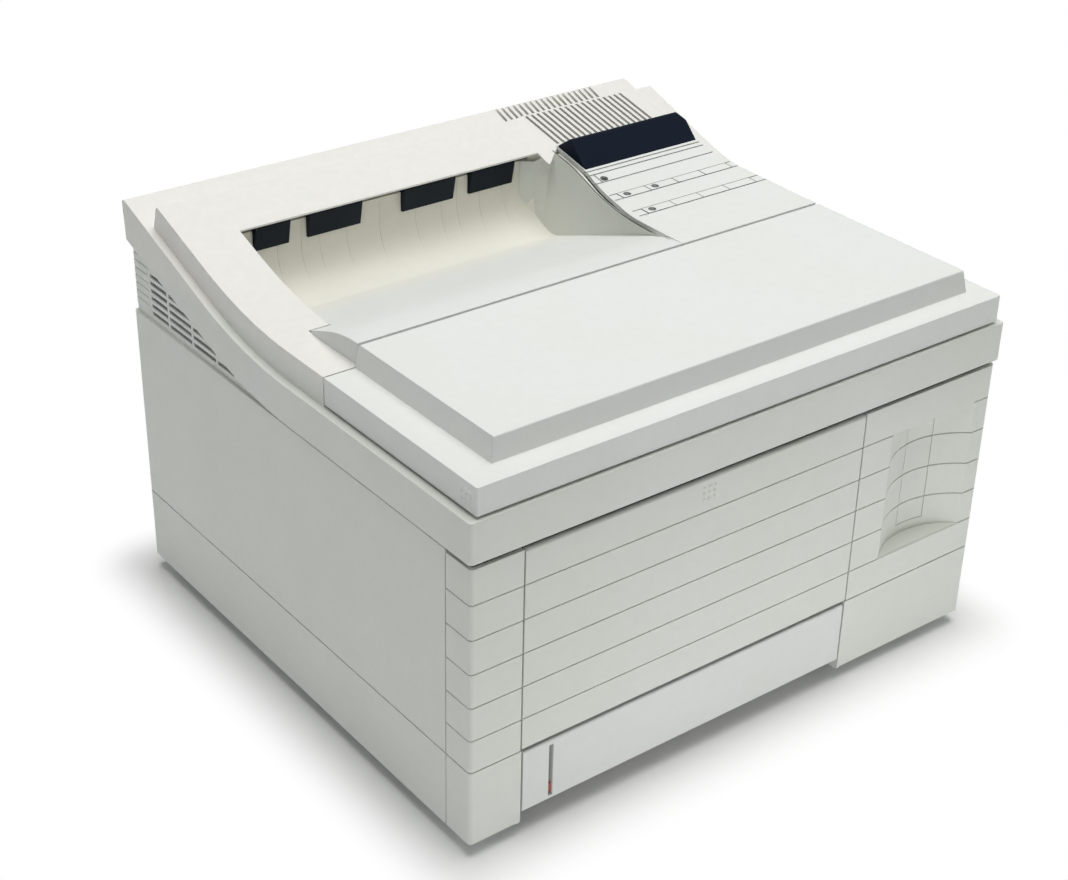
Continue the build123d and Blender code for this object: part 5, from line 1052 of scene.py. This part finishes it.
@dataclass
class BinCheek:
    """Facing of the output bin's right wall, from its foot on the floor to under the panel's lip.

    Attributes:
        foot: x and y of the wall's foot, from front to back.
        head: x and y of its head.
        furthest: largest x of the head.
        reach: y of the facing's front and rear end.
        lip: height from the head to the deck above.
        stand_off: how far the facing stands off the wall behind.
        thick: thickness of the facing.
        sunk: how deep the foot stands in the floor.
        lowest: least height of the facing where the floor meets the lip.
        pillar: x and y of the two edges of the rear pillar's flat.
        pillar_head: height of the pillar's head.
        gap: height of the dark band over the facing, a painted shadow in the gap under the lip.
        gap_from: height of the facing from which the painted shadow band is drawn.
        bend: degree of the curve through the head's places.
        columns: places along the facing.
        rows: places up it.
    """

    foot: tuple[tuple[float, float], ...] = (
        (66.2, -38.0), (66.3, -24.7), (66.7, -9.7), (67.4, 11.0), (68.6, 43.0), (70.7, 89.0), (71.7, 110.0),
    )
    head: tuple[tuple[float, float], ...] = (
        (66.4, -38.0), (66.2, -24.7), (65.9, -9.7), (66.4, 11.0), (72.2, 43.0), (80.3, 89.0), (80.6, 110.0),
    )
    furthest: float = 80.6
    reach: tuple[float, float] = (-38.0, 112.0)
    lip: float = 1.75
    stand_off: float = 0.35
    thick: float = 0.3
    sunk: float = 0.6
    lowest: float = 0.3
    pillar: tuple[tuple[float, float], ...] = ((71.45, 121.5), (63.2, 127.95))
    pillar_head: float = 266.0
    gap: float = 0.5
    gap_from: float = 2.0
    bend: int = 5
    columns: int = 60
    rows: int = 16

    def stations(self) -> list[tuple[np.ndarray, np.ndarray]]:
        """Foot and head of the facing, of the turn beside the pillar and of the pillar's flat.

        Returns:
            For each of the three, the foot's and the head's x, y and z, one row per station from
            front to back, in mm.
        """
        y = np.linspace(*self.reach, self.columns)
        foot_x = np.interp(y, [p[1] for p in self.foot], [p[0] for p in self.foot]) - self.stand_off
        smooth = np.polynomial.Polynomial.fit([p[1] for p in self.head], [p[0] for p in self.head], self.bend)
        head_x = np.minimum(smooth(y), self.furthest) - self.stand_off
        floor_z = self.floor(y)
        head_z = np.maximum(Deck().height(y) - self.lip, floor_z + self.lowest)
        foot = np.stack([foot_x, y, floor_z], axis=-1)
        head = np.stack([head_x, y, head_z], axis=-1)
        flat = np.array(self.pillar)
        low = np.column_stack([flat, self.floor(flat[:, 1])])
        high = np.column_stack([flat, np.full(len(flat), self.pillar_head)])
        turn = (np.stack([foot[-1], low[0]]), np.stack([head[-1], high[0]]))
        return [(foot, head), turn, (low, high)]

    def floor(self, y: np.ndarray) -> np.ndarray:
        """Height of the facing's foot, a little under the floor: level, then falling to the back."""
        return (BIN_START[1] - BIN_FALL * np.maximum(0.0, y * MM - BIN_START[0])) / MM - self.sunk

    def span(self, name: str, spans: Sequence[tuple[np.ndarray, np.ndarray]],
             material: bpy.types.Material) -> bpy.types.Object:
        """Span straight lines from the lower to the upper place at each station.

        Args:
            name: the object's name.
            spans: lower and upper places of each separate face, in mm.
            material: the finish.

        Returns:
            The thin sheet.
        """
        share = np.linspace(0.0, 1.0, self.rows)[:, None, None]
        grids = [(first + share * (last - first)) * MM for first, last in spans]
        made = Surfaces.sheets(name, grids, material, smooth=False)
        wall = made.modifiers.new("thickness", "SOLIDIFY")
        wall.thickness = self.thick * MM
        wall.offset = -1.0
        return made

    def build(self, material: bpy.types.Material, shade: bpy.types.Material) -> list[bpy.types.Object]:
        """Make the facing, and the dark band that paints the shadow in the gap under the panel's lip.

        Args:
            material: finish of the facing, a darker plastic that paints the shade on the bin's right wall.
            shade: finish of the painted shadow band.

        Returns:
            Both pieces.
        """
        facing = self.stations()
        foot, head = facing[0]
        tall = head[:, 2] - foot[:, 2] > self.gap_from
        way = (head - foot)[tall] / np.linalg.norm((head - foot)[tall], axis=1)[:, None]
        # The second piece is a dark sheet that paints the shadow in the gap under the lip.
        return [self.span("bin_cheek", facing, material),
                self.span("bin_cheek_painted_shadow", [(head[tall], head[tall] + self.gap * way)], shade)]


@dataclass
class PanelArt:
    """Fine dark outlines on the control panel, round the keys and the status strip.

    Attributes:
        line: width of a line.
        rise: height of the lines over the deck, just over the keys' faces.
        strips: start and end in x, then in y, of each line.
        lamps: x and y of each lamp.
        ring: inner and outer radius of the ring round a lamp.
    """

    line: float = 0.5
    rise: float = 0.36
    strips: tuple[tuple[float, float, float, float], ...] = (
        (80.5, 185.6, 78.2, 78.2), (79.5, 185.6, 73.8, 73.8), (77.5, 185.6, 63.2, 63.2),
        (77.0, 185.6, 45.2, 45.2), (75.0, 185.6, 36.8, 36.8),
        (73.4, 185.6, 16.7, 16.7), (72.6, 185.6, 8.3, 8.3),
        (86.0, 86.0, 63.2, 73.8), (83.0, 83.0, 36.8, 45.2), (107.2, 107.2, 36.8, 45.2),
        (131.7, 131.7, 36.8, 45.2), (156.3, 156.3, 36.8, 45.2), (180.8, 180.8, 36.8, 45.2),
        (80.8, 80.8, 8.3, 16.7), (105.0, 105.0, 8.3, 16.7), (129.0, 129.0, 8.3, 16.7),
        (153.0, 153.0, 8.3, 16.7), (177.2, 177.2, 8.3, 16.7),
    )
    lamps: tuple[tuple[float, float], ...] = ((90.0, 67.0), (89.0, 41.0), (113.5, 41.0), (87.0, 12.5))
    ring: tuple[float, float] = (2.0, 2.75)

    def ribbon(self, strip: tuple[float, float, float, float]) -> np.ndarray:
        """A flat grid of 2 by 9 places along one line, laid on the deck.

        Args:
            strip: start and end in x, start and end in y.

        Returns:
            Its places in mm.
        """
        start, end = np.array([strip[0], strip[2]]), np.array([strip[1], strip[3]])
        along = (end - start) / np.linalg.norm(end - start)
        side = np.array([along[1], -along[0]]) * self.line / 2
        run = np.linspace(0.0, 1.0, 9)[:, None] * (end - start) + start
        return self.laid(np.stack([run - side, run + side]))

    def circle(self, centre: tuple[float, float]) -> np.ndarray:
        """A flat ring of 2 by 25 places round one lamp.

        Args:
            centre: x and y of the lamp.

        Returns:
            Its places in mm.
        """
        turn = np.linspace(0.0, 2 * np.pi, 25)
        radius = np.array(self.ring[::-1])[:, None, None]
        return self.laid(np.array(centre) + radius * np.stack([np.cos(turn), np.sin(turn)], axis=-1))

    def laid(self, flat: np.ndarray) -> np.ndarray:
        """Add the height over the deck to places given in x and y."""
        return np.concatenate([flat, Deck().height(flat[..., 1:]) + self.rise], axis=-1)

    def build(self, material: bpy.types.Material) -> bpy.types.Object:
        """Lay every line and ring.

        Args:
            material: the finish.

        Returns:
            All lines in one object.
        """
        grids = [self.ribbon(strip) * MM for strip in self.strips]
        grids += [self.circle(centre) * MM for centre in self.lamps]
        made = Surfaces.sheets("panel_print_lines", grids, material)
        if made.data.polygons[0].normal.z < 0:
            made.data.flip_normals()
        return made


@dataclass
class DisplayBlock:
    """The dark display block with its right top corner cut off at an angle.

    Attributes:
        source: mesh of the frame's display block.
        cut: length of the cut corner.
        edge: width of the softened edges.
        near: how far in x and z the corner's places may lie from the block's right and top ends.
    """

    source: bpy.types.Mesh
    cut: float = 5.0 * MM
    edge: float = 0.5 * MM
    near: tuple[float, float] = (0.1 * MM, 0.2 * MM)

    def build(self, material: bpy.types.Material) -> bpy.types.Object:
        """Merge the block's flat faces, cut the corner and soften the rest.

        Args:
            material: the finish.

        Returns:
            The block.
        """
        mesh = self.source.copy()
        work = bmesh.new()
        work.from_mesh(mesh)
        bmesh.ops.remove_doubles(work, verts=work.verts, dist=NODE_MERGE)
        bmesh.ops.dissolve_limit(work, angle_limit=math.radians(1.0), verts=work.verts, edges=work.edges)
        right = max(vert.co.x for vert in work.verts) - self.near[0]
        top = max(vert.co.z for vert in work.verts) - self.near[1]
        corner = [edge for edge in work.edges
                  if all(vert.co.x > right and vert.co.z > top for vert in edge.verts)]
        bmesh.ops.bevel(work, geom=corner, offset=self.cut, segments=1, affect="EDGES", profile=0.5)
        work.to_mesh(mesh)
        work.free()
        mesh.materials.clear()
        mesh.materials.append(material)
        made = Surfaces.linked("display_block", mesh)
        soft = made.modifiers.new("edges", "BEVEL")
        soft.width = self.edge
        soft.segments = 2
        soft.limit_method = "ANGLE"
        soft.angle_limit = math.radians(30.0)
        return made


@dataclass
class CornerLouvres:
    """Low raised slats that carry the louvres' rows on round the rear corners.

    Attributes:
        low: height of the first slit.
        pitch: distance between slits.
        gap: height of a slit.
        rows: number of slats.
        rise: how far a slat stands out.
        start: y that the slats start at on the side.
        run: length of a slat along the back.
        side: x of the side's face under the slats.
        back: y of the back's face under the slats.
        turn: radius of the corner.
        soft: width of a slat's softened edges.
    """

    low: float = 206.0
    pitch: float = 5.4
    gap: float = 1.3
    rows: int = 8
    rise: float = 0.35
    start: float = 170.4
    run: float = 14.0
    side: float = 204.5
    back: float = 189.2
    turn: float = 1.2
    soft: float = 0.18

    def build(self, material: bpy.types.Material) -> bpy.types.Object:
        """Carry a flat rounded strip along the plan line round each rear corner.

        The plan line runs back along the side, turns the corner in a quarter circle and ends a
        little way along the back; the section is a low box with rounded edges.

        Args:
            material: the finish.

        Returns:
            All slats in one object.
        """
        turn = np.linspace(0.0, np.pi / 2, 6)
        normal = np.stack([np.cos(turn), np.sin(turn)], 1)
        corner = np.array([self.side, self.back]) - self.turn + self.turn * normal
        side = [[self.side, self.start], [self.side, self.start + 0.5]]
        plan = np.concatenate([side, corner, [[self.side - self.run, self.back]]])
        out = np.concatenate([[[1.0, 0.0], [1.0, 0.0]], normal, [[0.0, 1.0]]])
        grow = np.ones(len(plan))
        grow[0] = 0.0
        high = self.pitch - self.gap
        section = np.array([[0.0, -0.2], [0.0, 0.7], [self.soft, 1.0], [high - self.soft, 1.0],
                            [high, 0.7], [high, -0.2]])
        lift = section[None, :, 1] * self.rise * grow[:, None]
        flat = plan[:, None, :] + lift[..., None] * out[:, None, :]
        feet = self.low + np.arange(self.rows) * self.pitch + self.gap
        grids = [np.stack([flat[..., 0] * hand, flat[..., 1],
                           np.broadcast_to(foot + section[:, 0], flat.shape[:2])], axis=-1) * MM
                 for foot in feet for hand in (-1.0, 1.0)]
        return Surfaces.face_out(Surfaces.sheets("corner_louvres", grids, material, smooth=False))


@dataclass
class BinRibs:
    """Fine upright ribs on the output bin's rear wall that fade in the blend to the floor.

    Attributes:
        width: width of a rib at its foot.
        proud: height of a rib over the wall.
        sunk: how deep its foot stands in the wall.
        sweep: angle of the blend that a rib follows, in degrees.
        top_share: share of its height that a rib starts with.
        straight: steps along the wall.
        round: places round the blend.
        fading: how many of those the rib fades over.
        columns: x of each rib and the height that it starts at.
    """

    width: float = 1.1 * MM
    proud: float = 0.6 * MM
    sunk: float = 0.12 * MM
    sweep: float = 62.0
    top_share: float = 0.3
    straight: int = 7
    round: int = 18
    fading: int = 11
    columns: tuple[tuple[float, float], ...] = (
        (-132.0, 252.0), (-114.0, 265.0), (-100.0, 252.0), (-79.0, 252.0), (-53.0, 265.0),
        (-24.0, 252.0), (-3.0, 252.0), (10.0, 265.0), (29.0, 252.0), (49.5, 252.0),
    )

    def path(self, top: float) -> tuple[np.ndarray, np.ndarray, np.ndarray]:
        """Side line of one rib: straight down the wall, then round the blend until it fades.

        The line turns about the blend's centre from the wall towards the floor.

        Args:
            top: height that the rib starts at.

        Returns:
            Places in y and z, normals in y and z, and the rib's height share along the line.
        """
        turn = np.linspace(0.0, math.radians(self.sweep), self.round)
        toward = np.stack([np.cos(turn), -np.sin(turn)], axis=1)
        arc = BIN_BLEND.centre() + BIN_BLEND.radius * toward
        heights = np.linspace(top, arc[0, 1], self.straight, endpoint=False)
        wall = np.stack([np.full(self.straight, BIN_WALL), heights], axis=1)
        places = np.concatenate([wall, arc])
        normals = -np.concatenate([np.tile(toward[0], (self.straight, 1)), toward])
        full = np.ones(len(places) - self.fading)
        share = np.concatenate([full, np.linspace(1.0, 0.0, self.fading)])
        share[0] = self.top_share
        return places, normals, share

    def build(self, material: bpy.types.Material) -> bpy.types.Object:
        """Carry a rounded ridge, cos over its half width, along every rib's line.

        Args:
            material: the finish.

        Returns:
            All ribs in one object.
        """
        across = np.linspace(-1.0, 1.0, 7)
        bump = np.cos(across * math.pi / 2)
        grids = []
        for column, top in self.columns:
            places, normals, share = self.path(top * MM)
            rise = (bump[None, :] * share[:, None] * self.proud - self.sunk)[..., None]
            line = places[:, None, :] + rise * normals[:, None, :]
            side = np.broadcast_to(column * MM + across * self.width / 2, line.shape[:2])
            grids.append(np.concatenate([side[..., None], line], axis=2))
        return Surfaces.face_out(Surfaces.sheets("bin_ribs", grids, material))


@dataclass
class Printer:
    """Builds the printer's looks piece by piece.

    Attributes:
        nodes: the frame's nodes by name.
        front_dots: x and z of the middle of the dots on the fold-down door's front.
        side_dots: y and z of the middle of the dots on the toner door's left side.
    """

    nodes: dict[str, bpy.types.Object]
    front_dots: tuple[float, float] = (-0.037, 0.1895)
    side_dots: tuple[float, float] = (-0.181, 0.2408)

    def build(self) -> None:
        """Dress the frame and add the pieces that CAD doesn't carry."""
        finishes = Finishes()
        FrameDress(self.nodes, finishes).dress()
        SmoothShell(self.nodes, finishes).build()
        # The bin's facing takes a darker plastic that paints its shade; the dark band over it is a painted
        # shadow.
        for piece in BinCheek().build(finishes["shaded_cheek_plastic"], finishes["print_line_and_painted_shadow"]):
            place(piece, Body.CASE, Slot.CASING)
        place(PanelArt().build(finishes["print_line_and_painted_shadow"]), Body.CASE, Slot.CASING)
        shown = DisplayBlock(self.nodes["display_window"].data).build(finishes["display_plastic"])
        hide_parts("display_window")
        place(shown, Body.CASE, Slot.DISPLAY)
        place(CornerLouvres().build(finishes["case_plastic"]), Body.CASE, Slot.CASING)
        self.mark_grips(finishes)
        place(BinRibs().build(finishes["bin_plastic"]), Body.CASE, Slot.CASING)

    def mark_grips(self, finishes: Finishes) -> None:
        """Put the raised dots on the two doors.

        Args:
            finishes: the printer's finishes.
        """
        dots, up = TactileDots(), (0, 0, 1)
        front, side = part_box("mp_door")[0].y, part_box("toner_door")[0].x
        place(dots.build("front_door_dots", (self.front_dots[0], front, self.front_dots[1]), (1, 0, 0), up,
                         finishes["case_plastic"]), Body.FRONT_DOOR, Slot.CASING)
        place(dots.build("toner_door_dots", (side, *self.side_dots), (0, -1, 0), up,
                         finishes["cover_plastic"]), Body.TONER_DOOR, Slot.CASING)


def corners(box: Iterable[Iterable[float]]) -> list[list[float]]:
    """A box's two corners as plain lists."""
    return [[float(part) for part in corner] for corner in box]


def main() -> None:
    """Load the frame and build the looks."""
    logging.basicConfig(level=logging.INFO, format="%(message)s")
    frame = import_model()
    Studio().build()
    Printer(frame["nodes"]).build()


if __name__ == "__main__":
    main()
